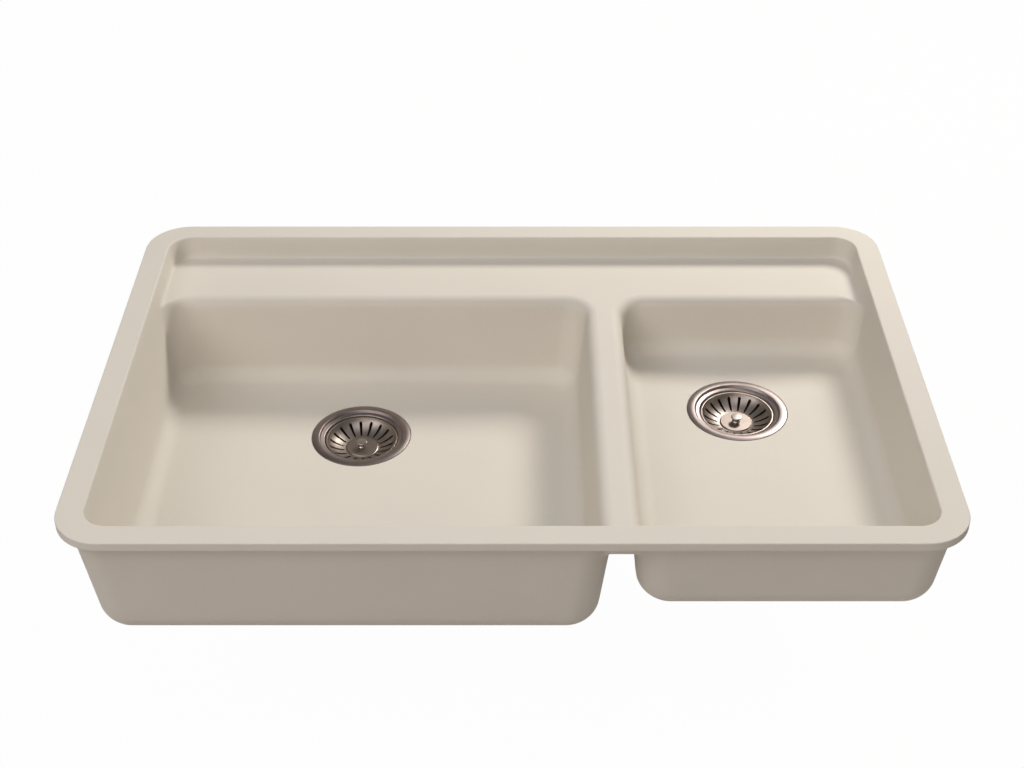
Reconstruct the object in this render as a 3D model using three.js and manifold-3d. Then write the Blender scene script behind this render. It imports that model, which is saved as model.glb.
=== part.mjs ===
// Double bowl kitchen sink: one cast basin with a recessed rear ledge and a low
// divider, and in each bowl a basket strainer with its fittings down to the tail tube.
// Millimetres. +X to the right, +Y to the back, +Z up.
// The origin is the middle of the flange's top face.

import * as THREE from 'three';
import { mergeVertices } from 'three/addons/utils/BufferGeometryUtils.js';
import Module from 'manifold-3d';

// ---------- driving dimensions: the casting ----------

const SINK_LENGTH = 880;
const SINK_WIDTH = 590;
const FLANGE_THICKNESS = 9.5;
const FLANGE_CORNER_RADIUS = 49;
const FLANGE_EDGE_ROUND = 0.9;
const RIM_WIDTH = 27;
const RIM_INNER_ROUND = 2;
const OPENING_CORNER_RADIUS = 25;
const DRAFT = THREE.MathUtils.degToRad(6.1);

const LEDGE_DROP = 26;
const LEDGE_THICKNESS = 10;
const LEDGE_WIDTH = 84;
const LEDGE_FOOT_ROUND = 4;
const LEDGE_EDGE_ROUND = 12;
const SMALL_BOWL_LENGTH = 284.6;
const DIVIDER_TOP_WIDTH = 38.6;
const BOWL_CORNER_RADIUS = 28;

const LARGE_BOWL_DEPTH = 132;
const SMALL_BOWL_DEPTH = 96;
const FLOOR_FALL = 3;
const FLOOR_FILLET = 21;
const TRAY_OUTER_FILLET = 13.5;

const SIDE_WALL = 11.6;
const FRONT_WALL = 21.8;
const BACK_WALL = 11.6;
const DIVIDER_WALL = 9.3;
const FLOOR_THICKNESS = 9.6;
const DRAIN_FLOOR_THICKNESS = 15.5;
const OUTER_CORNER_RADIUS = 32.3;

const DRAIN_LEFT_OF_MIDDLE = 12.1;
const DRAIN_TO_BACK_WALL = 123.7;
const DRAIN_HOLE_RADIUS = 45;
const DRAIN_RECESS_DEPTH = 4;
const DRAIN_FLAT_MARGIN = 8;

// ---------- driving dimensions: the strainers ----------

const STRAINER_FLANGE_RADIUS = 56.5;
const STRAINER_CROWN_RADIUS = 50;
const STRAINER_CROWN = 0.9;
const STRAINER_EDGE_FALL = 0.8;
const STRAINER_STEP_RADIUS = 47.5;
const STRAINER_STEP_ROUND = 0.7;
const STRAINER_STEP_DEPTH = 2.6;
const CUP_BORE_RADIUS = 42;
const CUP_WALL_DEPTH = 33;
const CUP_BOTTOM_ROUND = 5.5;
const CUP_BOTTOM_FALL = 1.6;
const SHEET = 1.2;
const STOPPER_SEAT_RADIUS = 24.8;
const OUTLET_BORE_RADIUS = 20.3;
const OUTLET_THREAD_RADIUS = 23.9;
const OUTLET_LENGTH = 22;

const PUTTY_WIDTH = 6.5;
const GASKET_THICKNESS = 3;
const GASKET_WIDTH = 12.5;
const FRICTION_WASHER_THICKNESS = 1.2;
const LOCKNUT_HEIGHT = 9;
const LOCKNUT_WALL = 6;
const LOCKNUT_LUG_COUNT = 8;
const LOCKNUT_LUG_WIDTH = 9;
const LOCKNUT_LUG_REACH = 5;

const BASKET_SHEET = 1;
const BASKET_RIM_WIDTH = 2.4;
const BASKET_RIM_DROP = 4;
const BASKET_DEPTH = 12.9;
const BASKET_DISC_RADIUS = 17.9;
const BASKET_DISC_RISE = 1.4;
const SLOT_COUNT = 18;
const SLOT_OUTER_RADIUS = 37;
const SLOT_OUTER_WIDTH = 3.6;
const SLOT_INNER_WIDTH = 2;
const SLOT_DISC_MARGIN = 2.9;
const LARGE_BASKET_TURN = 16;
const SMALL_BASKET_TURN = 18.3;

const KNOB_RADIUS = 6.2;
const KNOB_HEIGHT = 6.6;
const KNOB_ROUND = 0.8;
const KNOB_HEAD_HEIGHT = 2.6;
const KNOB_WAIST_RADIUS = 3.6;
const KNOB_FOOT_FLARE = 1;
const STEM_NECK_RADIUS = 3.2;
const STEM_COLLAR_RADIUS = 7.5;
const STEM_COLLAR_HEIGHT = 2;
const STEM_SHAFT_RADIUS = 4;
const STEM_HEAD_RADIUS = 7;
const STEM_HEAD_HEIGHT = 2;
const STOPPER_PLATE_RADIUS = 17;
const STOPPER_PLATE_THICKNESS = 1.2;
const STOPPER_THICKNESS = 6;

const TAIL_WASHER_THICKNESS = 2;
const TAIL_TUBE_RADIUS = 19.05;
const TAIL_TUBE_WALL = 1.1;
const TAIL_FLANGE_THICKNESS = 1.5;
const TAIL_LENGTH = 100;
const COUPLING_WALL = 4.5;
const COUPLING_GRIP = 13;
const COUPLING_LIP = 3;
const COUPLING_RIB_COUNT = 8;
const COUPLING_RIB_RADIUS = 2.5;

// ---------- clearances ----------

const SEAT_GAP = 0.3;
const RUNNING_GAP = 0.3;
const RECESS_GAP = 0.6;
const BASKET_GAP = 0.7;
const CUT_OVERRUN = 4;

// Edges shorter than this, left where two cut walls nearly coincide, are closed up.
const SLIVER = 0.02;

// ---------- fineness of the facets ----------

const CORNER_STEPS = 5;
const SIDE_STEPS = 3;
const FILLET_STEPS = 4;
const ROUND_STEPS = 2;
const LARGE_ROUND_SEGMENTS = 36;
const RING_SEGMENTS = 24;
const SMALL_ROUND_SEGMENTS = 18;
const BASKET_WALL_STEPS = 3;
const GRIP_RIB_SIDES = 6;

// ---------- finishes ----------

const CAST_STONE = { color: 0xd6cfc1, roughness: 0.55, metalness: 0 };
const SATIN_STEEL = { color: 0xb0a6a0, roughness: 0.32, metalness: 1 };
const CAST_BRASS = { color: 0xa98a4b, roughness: 0.5, metalness: 1 };
const CHROME = { color: 0xc9cacc, roughness: 0.15, metalness: 1 };
const BLACK_RUBBER = { color: 0x262626, roughness: 0.8, metalness: 0 };
const PUTTY = { color: 0x9c9484, roughness: 0.9, metalness: 0 };
const FIBRE = { color: 0x8a6f52, roughness: 0.9, metalness: 0 };
const WHITE_NYLON = { color: 0xe6e3da, roughness: 0.6, metalness: 0 };

// ---------- solids from surfaces ----------

const wasm = await Module();
wasm.setup();

// A solid for joining and cutting, from any closed geometry.
function solidOf(geometry) {
  const bare = geometry.clone();
  bare.deleteAttribute('normal');
  bare.deleteAttribute('uv');
  const merged = mergeVertices(bare, 1e-4);
  const corners = dropEmptyTriangles(merged.index.array);
  const vertProperties = new Float32Array(merged.attributes.position.array);
  return new wasm.Manifold(new wasm.Mesh({ numProp: 3, vertProperties, triVerts: corners }));
}

// Triangles that merging left with two corners in one place enclose nothing.
function dropEmptyTriangles(index) {
  const kept = [];
  for (let i = 0; i < index.length; i += 3) {
    const [a, b, c] = [index[i], index[i + 1], index[i + 2]];
    if (a !== b && b !== c && c !== a) kept.push(a, b, c);
  }
  return new Uint32Array(kept);
}

function geometryOf(solid) {
  const mesh = solid.asOriginal().simplify(SLIVER).getMesh();
  const geometry = new THREE.BufferGeometry();
  const positions = new Float32Array(mesh.vertProperties);
  geometry.setAttribute('position', new THREE.BufferAttribute(positions, 3));
  geometry.setIndex(new THREE.BufferAttribute(new Uint32Array(mesh.triVerts), 1));
  geometry.computeVertexNormals();
  return geometry;
}

// A closed loft through rings of equal point counts, listed from the top down.
// Each ring runs anticlockwise seen from above; a fan closes each end.
function loft(rings) {
  const count = rings[0].length;
  const points = rings.flat();
  const triangles = [];
  for (let ring = 0; ring + 1 < rings.length; ring += 1) {
    for (let k = 0; k < count; k += 1) {
      const next = (k + 1) % count;
      const upper = ring * count;
      const lower = upper + count;
      triangles.push(upper + k, lower + k, lower + next);
      triangles.push(upper + k, lower + next, upper + next);
    }
  }
  const topCentre = points.push(middleOf(rings[0])) - 1;
  const bottomCentre = points.push(middleOf(rings[rings.length - 1])) - 1;
  const last = (rings.length - 1) * count;
  for (let k = 0; k < count; k += 1) {
    const next = (k + 1) % count;
    triangles.push(topCentre, k, next);
    triangles.push(bottomCentre, last + next, last + k);
  }
  const geometry = new THREE.BufferGeometry().setFromPoints(points);
  geometry.setIndex(triangles);
  return geometry;
}

function middleOf(ring) {
  const sum = new THREE.Vector3();
  ring.forEach((point) => sum.add(point));
  return sum.divideScalar(ring.length);
}

// A rounded rectangle at one height, anticlockwise from the back right corner.
// area: x0, x1, y0, y1 are its sides, frontRadius and backRadius its corners.
function rectangleRing(area, depth) {
  const { x0, x1, y0, y1, frontRadius, backRadius } = area;
  const corners = [
    { x: x1 - backRadius, y: y1 - backRadius, radius: backRadius },
    { x: x0 + backRadius, y: y1 - backRadius, radius: backRadius },
    { x: x0 + frontRadius, y: y0 + frontRadius, radius: frontRadius },
    { x: x1 - frontRadius, y: y0 + frontRadius, radius: frontRadius },
  ];
  const ring = [];
  corners.forEach((corner, quarter) => {
    for (let step = 0; step <= CORNER_STEPS; step += 1) {
      const angle = (quarter + step / CORNER_STEPS) * Math.PI / 2;
      const x = corner.x + corner.radius * Math.cos(angle);
      const y = corner.y + corner.radius * Math.sin(angle);
      ring.push(new THREE.Vector3(x, y, -depth));
    }
    const end = ring[ring.length - 1];
    const following = corners[(quarter + 1) % corners.length];
    const turn = (quarter + 1) * Math.PI / 2;
    const start = new THREE.Vector3(
      following.x + following.radius * Math.cos(turn),
      following.y + following.radius * Math.sin(turn),
      -depth,
    );
    for (let step = 1; step < SIDE_STEPS; step += 1) {
      ring.push(end.clone().lerp(start, step / SIDE_STEPS));
    }
  });
  return ring;
}

// The circle round a drain that a floor ring shrinks to: each point keeps its bearing.
function drainRing(ring, drainX, radius, depth) {
  return ring.map((point) => {
    const bearing = Math.atan2(point.y - drainY, point.x - drainX);
    const x = drainX + radius * Math.cos(bearing);
    const y = drainY + radius * Math.sin(bearing);
    return new THREE.Vector3(x, y, -depth);
  });
}

// A body of revolution about +Z. The profile is a closed list of [radius, height],
// or one that starts and ends on the axis.
function revolve(profile, segments) {
  const closed = profile[0][0] > 0 ? [...profile, profile[0]] : profile;
  const points = closed.map(([radius, height]) => new THREE.Vector2(radius, height));
  const geometry = new THREE.LatheGeometry(points, segments);
  geometry.rotateX(Math.PI / 2);
  const solid = solidOf(geometry);
  return solid.volume() > 0 ? solid : solidOf(flipped(geometry));
}

function flipped(geometry) {
  const turned = geometry.clone();
  const index = turned.index.array;
  for (let i = 0; i < index.length; i += 3) {
    [index[i], index[i + 1]] = [index[i + 1], index[i]];
  }
  return turned;
}

// The corner radius of a faceted bore whose flats lie at the given radius, so that a
// round piece of that radius passes however many facets either has.
function clearBore(radius, segments) {
  return radius / Math.cos(Math.PI / segments);
}

function ringProfile(innerRadius, outerRadius, top, height) {
  return [
    [innerRadius, top],
    [innerRadius, top - height],
    [outerRadius, top - height],
    [outerRadius, top],
  ];
}

// A shape in the XY plane, extruded upwards from height `bottom`.
function prism(shape, bottom, height, curveSegments) {
  const options = { depth: height, bevelEnabled: false, curveSegments };
  const geometry = new THREE.ExtrudeGeometry(shape, options);
  geometry.translate(0, 0, bottom);
  return solidOf(geometry);
}

// Copies of a solid, evenly spaced round the axis.
function aroundAxis(solid, count) {
  const copies = [];
  for (let k = 0; k < count; k += 1) copies.push(solid.rotate([0, 0, 360 * k / count]));
  return copies;
}

// ---------- the casting ----------

const halfLength = SINK_LENGTH / 2;
const halfWidth = SINK_WIDTH / 2;
const draftInset = (depth) => depth * Math.tan(DRAFT);
const openingHalfLength = (depth) => halfLength - RIM_WIDTH - draftInset(depth);
const openingHalfWidth = (depth) => halfWidth - RIM_WIDTH - draftInset(depth);

// Where the bowls' walls would meet the plane of the ledge, and the drains between them.
const dividerX = openingHalfLength(LEDGE_DROP) - SMALL_BOWL_LENGTH - DIVIDER_TOP_WIDTH / 2;
const backWallY = openingHalfWidth(LEDGE_DROP) - LEDGE_WIDTH - LEDGE_EDGE_ROUND;
const drainY = backWallY - DRAIN_TO_BACK_WALL;

// The two bowls: side is -1 left of the divider and +1 right of it.
const largeBowl = bowlAt(-1, LARGE_BOWL_DEPTH);
const smallBowl = bowlAt(1, SMALL_BOWL_DEPTH);

function bowlAt(side, depth) {
  const { x0, x1 } = bowlInside(side)(LEDGE_DROP);
  return { side, depth, drainX: (x0 + x1) / 2 - DRAIN_LEFT_OF_MIDDLE };
}

function grown(area, amount) {
  return {
    x0: area.x0 - amount,
    x1: area.x1 + amount,
    y0: area.y0 - amount,
    y1: area.y1 + amount,
    frontRadius: Math.max(area.frontRadius + amount, 1),
    backRadius: Math.max(area.backRadius + amount, 1),
  };
}

function centredArea(halfX, halfY, radius) {
  return { x0: -halfX, x1: halfX, y0: -halfY, y1: halfY, frontRadius: radius, backRadius: radius };
}

// The flat flange, with its two long edges rounded.
function flangeSolid() {
  const outline = centredArea(halfLength, halfWidth, FLANGE_CORNER_RADIUS);
  const rings = [];
  for (let step = 0; step <= ROUND_STEPS; step += 1) {
    const angle = (step / ROUND_STEPS) * Math.PI / 2;
    const inset = FLANGE_EDGE_ROUND * (1 - Math.sin(angle));
    const depth = FLANGE_EDGE_ROUND * (1 - Math.cos(angle));
    rings.push(rectangleRing(grown(outline, -inset), depth));
  }
  for (let step = 0; step <= ROUND_STEPS; step += 1) {
    const angle = (step / ROUND_STEPS) * Math.PI / 2;
    const inset = FLANGE_EDGE_ROUND * (1 - Math.cos(angle));
    const depth = FLANGE_THICKNESS - FLANGE_EDGE_ROUND * (1 - Math.sin(angle));
    rings.push(rectangleRing(grown(outline, -inset), depth));
  }
  return solidOf(loft(rings));
}

// Rings down a drafted wall and round the fillet at its foot.
// areaAt(depth) is the wall's plan; the fillet ends at footDepth.
function wallAndFilletRings(areaAt, topDepth, footDepth, fillet) {
  const centreDepth = footDepth - fillet;
  const rings = [rectangleRing(areaAt(topDepth), topDepth)];
  for (let step = 0; step <= FILLET_STEPS; step += 1) {
    const angle = DRAFT + (Math.PI / 2 - DRAFT) * step / FILLET_STEPS;
    const depth = centreDepth + fillet * Math.sin(angle);
    const fromWall = fillet / Math.cos(DRAFT) - fillet * Math.cos(angle);
    const inset = fromWall - fillet * Math.sin(angle) * Math.tan(DRAFT);
    rings.push(rectangleRing(grown(areaAt(depth), -inset), depth));
  }
  return rings;
}

// The outside of the shallow tray that carries the ledge, over the whole opening. Its
// front wall is as thin as its sides: it shows only between the bowls.
function trayOutside() {
  const areaAt = (depth) => ({
    x0: -openingHalfLength(depth) - SIDE_WALL,
    x1: openingHalfLength(depth) + SIDE_WALL,
    y0: -openingHalfWidth(depth) - SIDE_WALL,
    y1: openingHalfWidth(depth) + BACK_WALL,
    frontRadius: OUTER_CORNER_RADIUS,
    backRadius: OUTER_CORNER_RADIUS,
  });
  const inFlange = FLANGE_THICKNESS / 2;
  const footDepth = LEDGE_DROP + LEDGE_THICKNESS;
  return solidOf(loft(wallAndFilletRings(areaAt, inFlange, footDepth, TRAY_OUTER_FILLET)));
}

// The hollow of the tray, from above the rim down to the ledge.
function trayHollow() {
  const areaAt = (depth) => centredArea(
    openingHalfLength(depth), openingHalfWidth(depth), OPENING_CORNER_RADIUS,
  );
  const rim = areaAt(0);
  const rings = [rectangleRing(grown(rim, RIM_INNER_ROUND), -CUT_OVERRUN)];
  for (let step = 0; step < ROUND_STEPS; step += 1) {
    const angle = (step / ROUND_STEPS) * Math.PI / 2;
    const outset = RIM_INNER_ROUND * (1 - Math.sin(angle));
    const depth = RIM_INNER_ROUND * (1 - Math.cos(angle));
    rings.push(rectangleRing(grown(rim, outset), depth));
  }
  rings.push(...wallAndFilletRings(areaAt, RIM_INNER_ROUND, LEDGE_DROP, LEDGE_FOOT_ROUND));
  return solidOf(loft(rings));
}

// Plans of a bowl's inside walls at any depth.
function bowlInside(side) {
  const dividerFace = dividerX + side * DIVIDER_TOP_WIDTH / 2;
  return (depth) => {
    const belowLedge = draftInset(depth - LEDGE_DROP);
    const divider = dividerFace + side * belowLedge;
    return {
      x0: side < 0 ? -openingHalfLength(depth) : divider,
      x1: side < 0 ? divider : openingHalfLength(depth),
      y0: -openingHalfWidth(depth),
      y1: backWallY - belowLedge,
      frontRadius: OPENING_CORNER_RADIUS,
      backRadius: BOWL_CORNER_RADIUS,
    };
  };
}

function bowlOutside(side) {
  const inside = bowlInside(side);
  return (depth) => {
    const area = inside(depth);
    return {
      x0: area.x0 - (side < 0 ? SIDE_WALL : DIVIDER_WALL),
      x1: area.x1 + (side < 0 ? DIVIDER_WALL : SIDE_WALL),
      y0: area.y0 - FRONT_WALL,
      y1: area.y1 + BACK_WALL,
      frontRadius: OUTER_CORNER_RADIUS,
      backRadius: BOWL_CORNER_RADIUS + BACK_WALL,
    };
  };
}

const drainFlatRadius = STRAINER_FLANGE_RADIUS + DRAIN_FLAT_MARGIN;

// The floor thickens towards the drain, where the recess is sunk into it.
function bowlOutsideSolid({ side, depth, drainX }) {
  const footDepth = depth - FLOOR_FALL + FLOOR_THICKNESS;
  const fillet = FLOOR_FILLET + FLOOR_THICKNESS;
  const inFlange = FLANGE_THICKNESS / 2;
  const rings = wallAndFilletRings(bowlOutside(side), inFlange, footDepth, fillet);
  const foot = rings[rings.length - 1];
  rings.push(drainRing(foot, drainX, drainFlatRadius, depth + DRAIN_FLOOR_THICKNESS));
  return solidOf(loft(rings));
}

// The hollow of a bowl. It starts in the tray, is widest where it meets the ledge
// and the divider, and rounds over their edges before it runs down the walls.
function bowlHollow({ side, depth: bowlDepth, drainX }) {
  const inside = bowlInside(side);
  const roundFoot = LEDGE_DROP + LEDGE_EDGE_ROUND;
  const overEdge = (depth, outset) => {
    const area = inside(depth);
    return {
      ...area,
      x0: area.x0 - (side > 0 ? outset : 0),
      x1: area.x1 + (side < 0 ? outset : 0),
      y1: area.y1 + outset,
      backRadius: area.backRadius + outset,
    };
  };
  const above = LEDGE_DROP - LEDGE_FOOT_ROUND - RIM_INNER_ROUND;
  const rings = [rectangleRing(overEdge(above, LEDGE_EDGE_ROUND), above)];
  for (let step = 0; step < FILLET_STEPS; step += 1) {
    const angle = (Math.PI / 2) * (1 - step / FILLET_STEPS);
    const depth = roundFoot - LEDGE_EDGE_ROUND * Math.sin(angle);
    rings.push(rectangleRing(overEdge(depth, LEDGE_EDGE_ROUND * (1 - Math.cos(angle))), depth));
  }
  const footDepth = bowlDepth - FLOOR_FALL;
  rings.push(...wallAndFilletRings(inside, roundFoot, footDepth, FLOOR_FILLET));
  const foot = rings[rings.length - 1];
  rings.push(drainRing(foot, drainX, drainFlatRadius, bowlDepth));
  return solidOf(loft(rings));
}

// The hole in a floor, with the shallow recess that takes the strainer's flange.
function drainCut({ depth, drainX }) {
  const recessRadius = STRAINER_FLANGE_RADIUS + RECESS_GAP;
  const through = DRAIN_FLOOR_THICKNESS + CUT_OVERRUN;
  const profile = [
    [0, CUT_OVERRUN],
    [recessRadius, CUT_OVERRUN],
    [recessRadius, -DRAIN_RECESS_DEPTH],
    [DRAIN_HOLE_RADIUS, -DRAIN_RECESS_DEPTH],
    [DRAIN_HOLE_RADIUS, -through],
    [0, -through],
  ];
  return revolve(profile, LARGE_ROUND_SEGMENTS).translate([drainX, drainY, -depth]);
}

function basinSolid() {
  const outside = flangeSolid()
    .add(trayOutside())
    .add(bowlOutsideSolid(largeBowl))
    .add(bowlOutsideSolid(smallBowl));
  return outside
    .subtract(trayHollow())
    .subtract(bowlHollow(largeBowl))
    .subtract(bowlHollow(smallBowl))
    .subtract(drainCut(largeBowl))
    .subtract(drainCut(smallBowl));
}

// ---------- strainer body: heights are from the bowl floor at the drain ----------

const flangeTop = STRAINER_CROWN;
const flangeEdgeTop = flangeTop - STRAINER_EDGE_FALL;
const shoulderTop = flangeTop - STRAINER_STEP_ROUND;
const seatTop = flangeTop - STRAINER_STEP_DEPTH;
const cupOuterRadius = CUP_BORE_RADIUS + SHEET;
const cupWallFoot = -CUP_WALL_DEPTH;
const cupFloorRadius = CUP_BORE_RADIUS - CUP_BOTTOM_ROUND;
const cupFloorTop = cupWallFoot - CUP_BOTTOM_ROUND;
const seatLip = cupFloorTop - CUP_BOTTOM_FALL;
const seatFoot = seatLip - (STOPPER_SEAT_RADIUS - OUTLET_BORE_RADIUS);
const outletEnd = seatFoot - OUTLET_LENGTH;

// The pressed flange and cup in one: the upper face from the flange's edge over its
// crown and down into the outlet, then back up the outside.
function strainerBodySolid() {
  const mouthRound = (STRAINER_STEP_RADIUS - CUP_BORE_RADIUS) / 3;
  const shelfRadius = STRAINER_STEP_RADIUS - SHEET;
  const innerFace = [
    [STRAINER_FLANGE_RADIUS, flangeEdgeTop - SHEET],
    [STRAINER_FLANGE_RADIUS, flangeEdgeTop],
    [STRAINER_CROWN_RADIUS, flangeTop],
    [STRAINER_STEP_RADIUS, shoulderTop],
    [shelfRadius, seatTop],
    [CUP_BORE_RADIUS, seatTop - mouthRound],
    [CUP_BORE_RADIUS, cupWallFoot],
    ...cupBottomArc(0),
    [STOPPER_SEAT_RADIUS, seatLip],
    [OUTLET_BORE_RADIUS, seatFoot],
    [OUTLET_BORE_RADIUS, outletEnd],
  ];
  const outerFace = [
    [OUTLET_THREAD_RADIUS, outletEnd],
    [OUTLET_THREAD_RADIUS, seatFoot],
    [STOPPER_SEAT_RADIUS + SHEET, seatLip - SHEET],
    ...cupBottomArc(SHEET).reverse(),
    [cupOuterRadius, cupWallFoot],
    [cupOuterRadius, seatTop - mouthRound - SHEET],
    [shelfRadius, seatTop - SHEET],
    [STRAINER_STEP_RADIUS + SHEET, shoulderTop - SHEET],
  ];
  return revolve([...innerFace, ...outerFace], LARGE_ROUND_SEGMENTS);
}

// The round between cup wall and cup floor, from just under the wall inwards.
function cupBottomArc(thickness) {
  const radius = CUP_BOTTOM_ROUND + thickness;
  const arc = [];
  for (let step = 1; step <= ROUND_STEPS; step += 1) {
    const angle = (step / ROUND_STEPS) * Math.PI / 2;
    arc.push([cupFloorRadius + radius * Math.cos(angle), cupWallFoot - radius * Math.sin(angle)]);
  }
  return arc;
}

// ---------- what clamps the strainer body to the floor ----------

const recessFloor = -DRAIN_RECESS_DEPTH;
const underFloor = -DRAIN_FLOOR_THICKNESS;
const gasketTop = underFloor - SEAT_GAP;
const frictionWasherTop = gasketTop - GASKET_THICKNESS - SEAT_GAP;
const locknutTop = frictionWasherTop - FRICTION_WASHER_THICKNESS - SEAT_GAP;
const ringBore = clearBore(cupOuterRadius + RUNNING_GAP, RING_SEGMENTS);
const nutBore = clearBore(cupOuterRadius + RUNNING_GAP, LARGE_ROUND_SEGMENTS);

// The putty fills the space between the recess and the flange.
function puttyRingSolid() {
  const outer = STRAINER_FLANGE_RADIUS - SHEET;
  const inner = outer - PUTTY_WIDTH;
  const bottom = recessFloor + SEAT_GAP;
  const top = flangeEdgeTop - SHEET - SEAT_GAP;
  return revolve(ringProfile(inner, outer, top, top - bottom), RING_SEGMENTS);
}

function rubberGasketSolid() {
  const profile = ringProfile(ringBore, ringBore + GASKET_WIDTH, gasketTop, GASKET_THICKNESS);
  return revolve(profile, RING_SEGMENTS);
}

function frictionWasherSolid() {
  const outer = ringBore + GASKET_WIDTH - SHEET;
  const profile = ringProfile(ringBore, outer, frictionWasherTop, FRICTION_WASHER_THICKNESS);
  return revolve(profile, RING_SEGMENTS);
}

// A threaded ring with square lugs for the spanner.
function locknutSolid() {
  const outer = nutBore + LOCKNUT_WALL;
  const profile = ringProfile(nutBore, outer, locknutTop, LOCKNUT_HEIGHT);
  const lug = new THREE.BoxGeometry(LOCKNUT_LUG_REACH * 2, LOCKNUT_LUG_WIDTH, LOCKNUT_HEIGHT);
  lug.translate(outer, 0, locknutTop - LOCKNUT_HEIGHT / 2);
  const lugs = aroundAxis(solidOf(lug), LOCKNUT_LUG_COUNT);
  const bore = revolve([
    [0, locknutTop + CUT_OVERRUN],
    [nutBore, locknutTop + CUT_OVERRUN],
    [nutBore, locknutTop - LOCKNUT_HEIGHT - CUT_OVERRUN],
    [0, locknutTop - LOCKNUT_HEIGHT - CUT_OVERRUN],
  ], LARGE_ROUND_SEGMENTS);
  const joined = lugs.reduce((sum, one) => sum.add(one), revolve(profile, LARGE_ROUND_SEGMENTS));
  return joined.subtract(bore);
}

// ---------- basket, stem and stopper ----------

const basketRimRadius = CUP_BORE_RADIUS - BASKET_GAP;
const basketRimTop = -BASKET_RIM_DROP;
const basketWallRadius = basketRimRadius - BASKET_RIM_WIDTH;
const basketFootRadius = BASKET_DISC_RADIUS + BASKET_SHEET;
const basketFoot = basketRimTop - BASKET_DEPTH;
const discTop = basketFoot + BASKET_DISC_RISE;
const neckBore = clearBore(STEM_NECK_RADIUS + RUNNING_GAP, LARGE_ROUND_SEGMENTS);

// The curve of the basket's wall, from under the rim to the foot: a quarter of an
// ellipse blended with the straight cone between the same two ends.
function basketWall(thickness) {
  const wall = [];
  const rimRound = BASKET_SHEET;
  for (let step = 0; step <= BASKET_WALL_STEPS; step += 1) {
    const share = step / BASKET_WALL_STEPS;
    const angle = share * Math.PI / 2;
    const acrossEllipse = 1 - Math.cos(angle);
    const downEllipse = Math.sin(angle);
    const across = (acrossEllipse + share) / 2;
    const down = (downEllipse + share) / 2;
    const radius = basketWallRadius - across * (basketWallRadius - basketFootRadius);
    const height = basketRimTop - rimRound - down * (BASKET_DEPTH - rimRound);
    wall.push([radius + thickness * Math.cos(angle), height - thickness * Math.sin(angle)]);
  }
  return wall;
}

function basketSolid() {
  const profile = [
    [neckBore, discTop],
    [neckBore, discTop - BASKET_SHEET],
    [BASKET_DISC_RADIUS - BASKET_SHEET, discTop - BASKET_SHEET],
    ...basketWall(BASKET_SHEET).reverse(),
    [basketRimRadius, basketRimTop - BASKET_SHEET],
    [basketRimRadius, basketRimTop],
    [basketWallRadius + BASKET_SHEET / 2, basketRimTop],
    ...basketWall(0),
    [BASKET_DISC_RADIUS, discTop],
  ];
  const bowl = revolve(profile, LARGE_ROUND_SEGMENTS);
  const slot = prism(slotShape(), basketFoot - CUT_OVERRUN, BASKET_DEPTH + CUT_OVERRUN, ROUND_STEPS);
  return aroundAxis(slot, SLOT_COUNT).reduce((left, cut) => left.subtract(cut), bowl);
}

// A radial slot with round ends, wider towards the rim.
function slotShape() {
  const innerHalf = SLOT_INNER_WIDTH / 2;
  const outerHalf = SLOT_OUTER_WIDTH / 2;
  const innerX = BASKET_DISC_RADIUS + SLOT_DISC_MARGIN + innerHalf;
  const outerX = SLOT_OUTER_RADIUS - outerHalf;
  const shape = new THREE.Shape();
  shape.absarc(outerX, 0, outerHalf, -Math.PI / 2, Math.PI / 2, false);
  shape.absarc(innerX, 0, innerHalf, Math.PI / 2, Math.PI * 3 / 2, false);
  shape.closePath();
  return shape;
}

const collarTop = discTop - BASKET_SHEET - RUNNING_GAP;
const knobFoot = discTop + RUNNING_GAP;
const stopperTop = seatLip - SEAT_GAP + STOPPER_THICKNESS / 2;
const stopperFoot = stopperTop - STOPPER_THICKNESS;
const plateTop = stopperTop + SEAT_GAP + STOPPER_PLATE_THICKNESS;
const headTop = stopperFoot - SEAT_GAP;
const shaftBore = clearBore(STEM_SHAFT_RADIUS + SEAT_GAP, SMALL_ROUND_SEGMENTS);

// Waisted knob, neck in the basket's hole, collar under it, shaft and riveted head.
function stemSolid() {
  const knobTop = knobFoot + KNOB_HEIGHT;
  const crown = [];
  for (let step = 0; step <= ROUND_STEPS; step += 1) {
    const angle = (step / ROUND_STEPS) * Math.PI / 2;
    const radius = KNOB_RADIUS - KNOB_ROUND * (1 - Math.sin(angle));
    crown.push([radius, knobTop - KNOB_ROUND * (1 - Math.cos(angle))]);
  }
  const profile = [
    [0, knobTop],
    ...crown,
    [KNOB_WAIST_RADIUS, knobTop - KNOB_HEAD_HEIGHT],
    [KNOB_WAIST_RADIUS, knobFoot + KNOB_FOOT_FLARE],
    [KNOB_WAIST_RADIUS + KNOB_FOOT_FLARE, knobFoot],
    [STEM_NECK_RADIUS, knobFoot],
    [STEM_NECK_RADIUS, collarTop],
    [STEM_COLLAR_RADIUS, collarTop],
    [STEM_COLLAR_RADIUS, collarTop - STEM_COLLAR_HEIGHT],
    [STEM_SHAFT_RADIUS, collarTop - STEM_COLLAR_HEIGHT],
    [STEM_SHAFT_RADIUS, headTop],
    [STEM_HEAD_RADIUS, headTop],
    [STEM_HEAD_RADIUS, headTop - STEM_HEAD_HEIGHT],
    [0, headTop - STEM_HEAD_HEIGHT],
  ];
  return revolve(profile, SMALL_ROUND_SEGMENTS);
}

function stopperPlateSolid() {
  const profile = ringProfile(shaftBore, STOPPER_PLATE_RADIUS, plateTop, STOPPER_PLATE_THICKNESS);
  return revolve(profile, SMALL_ROUND_SEGMENTS);
}

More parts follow.
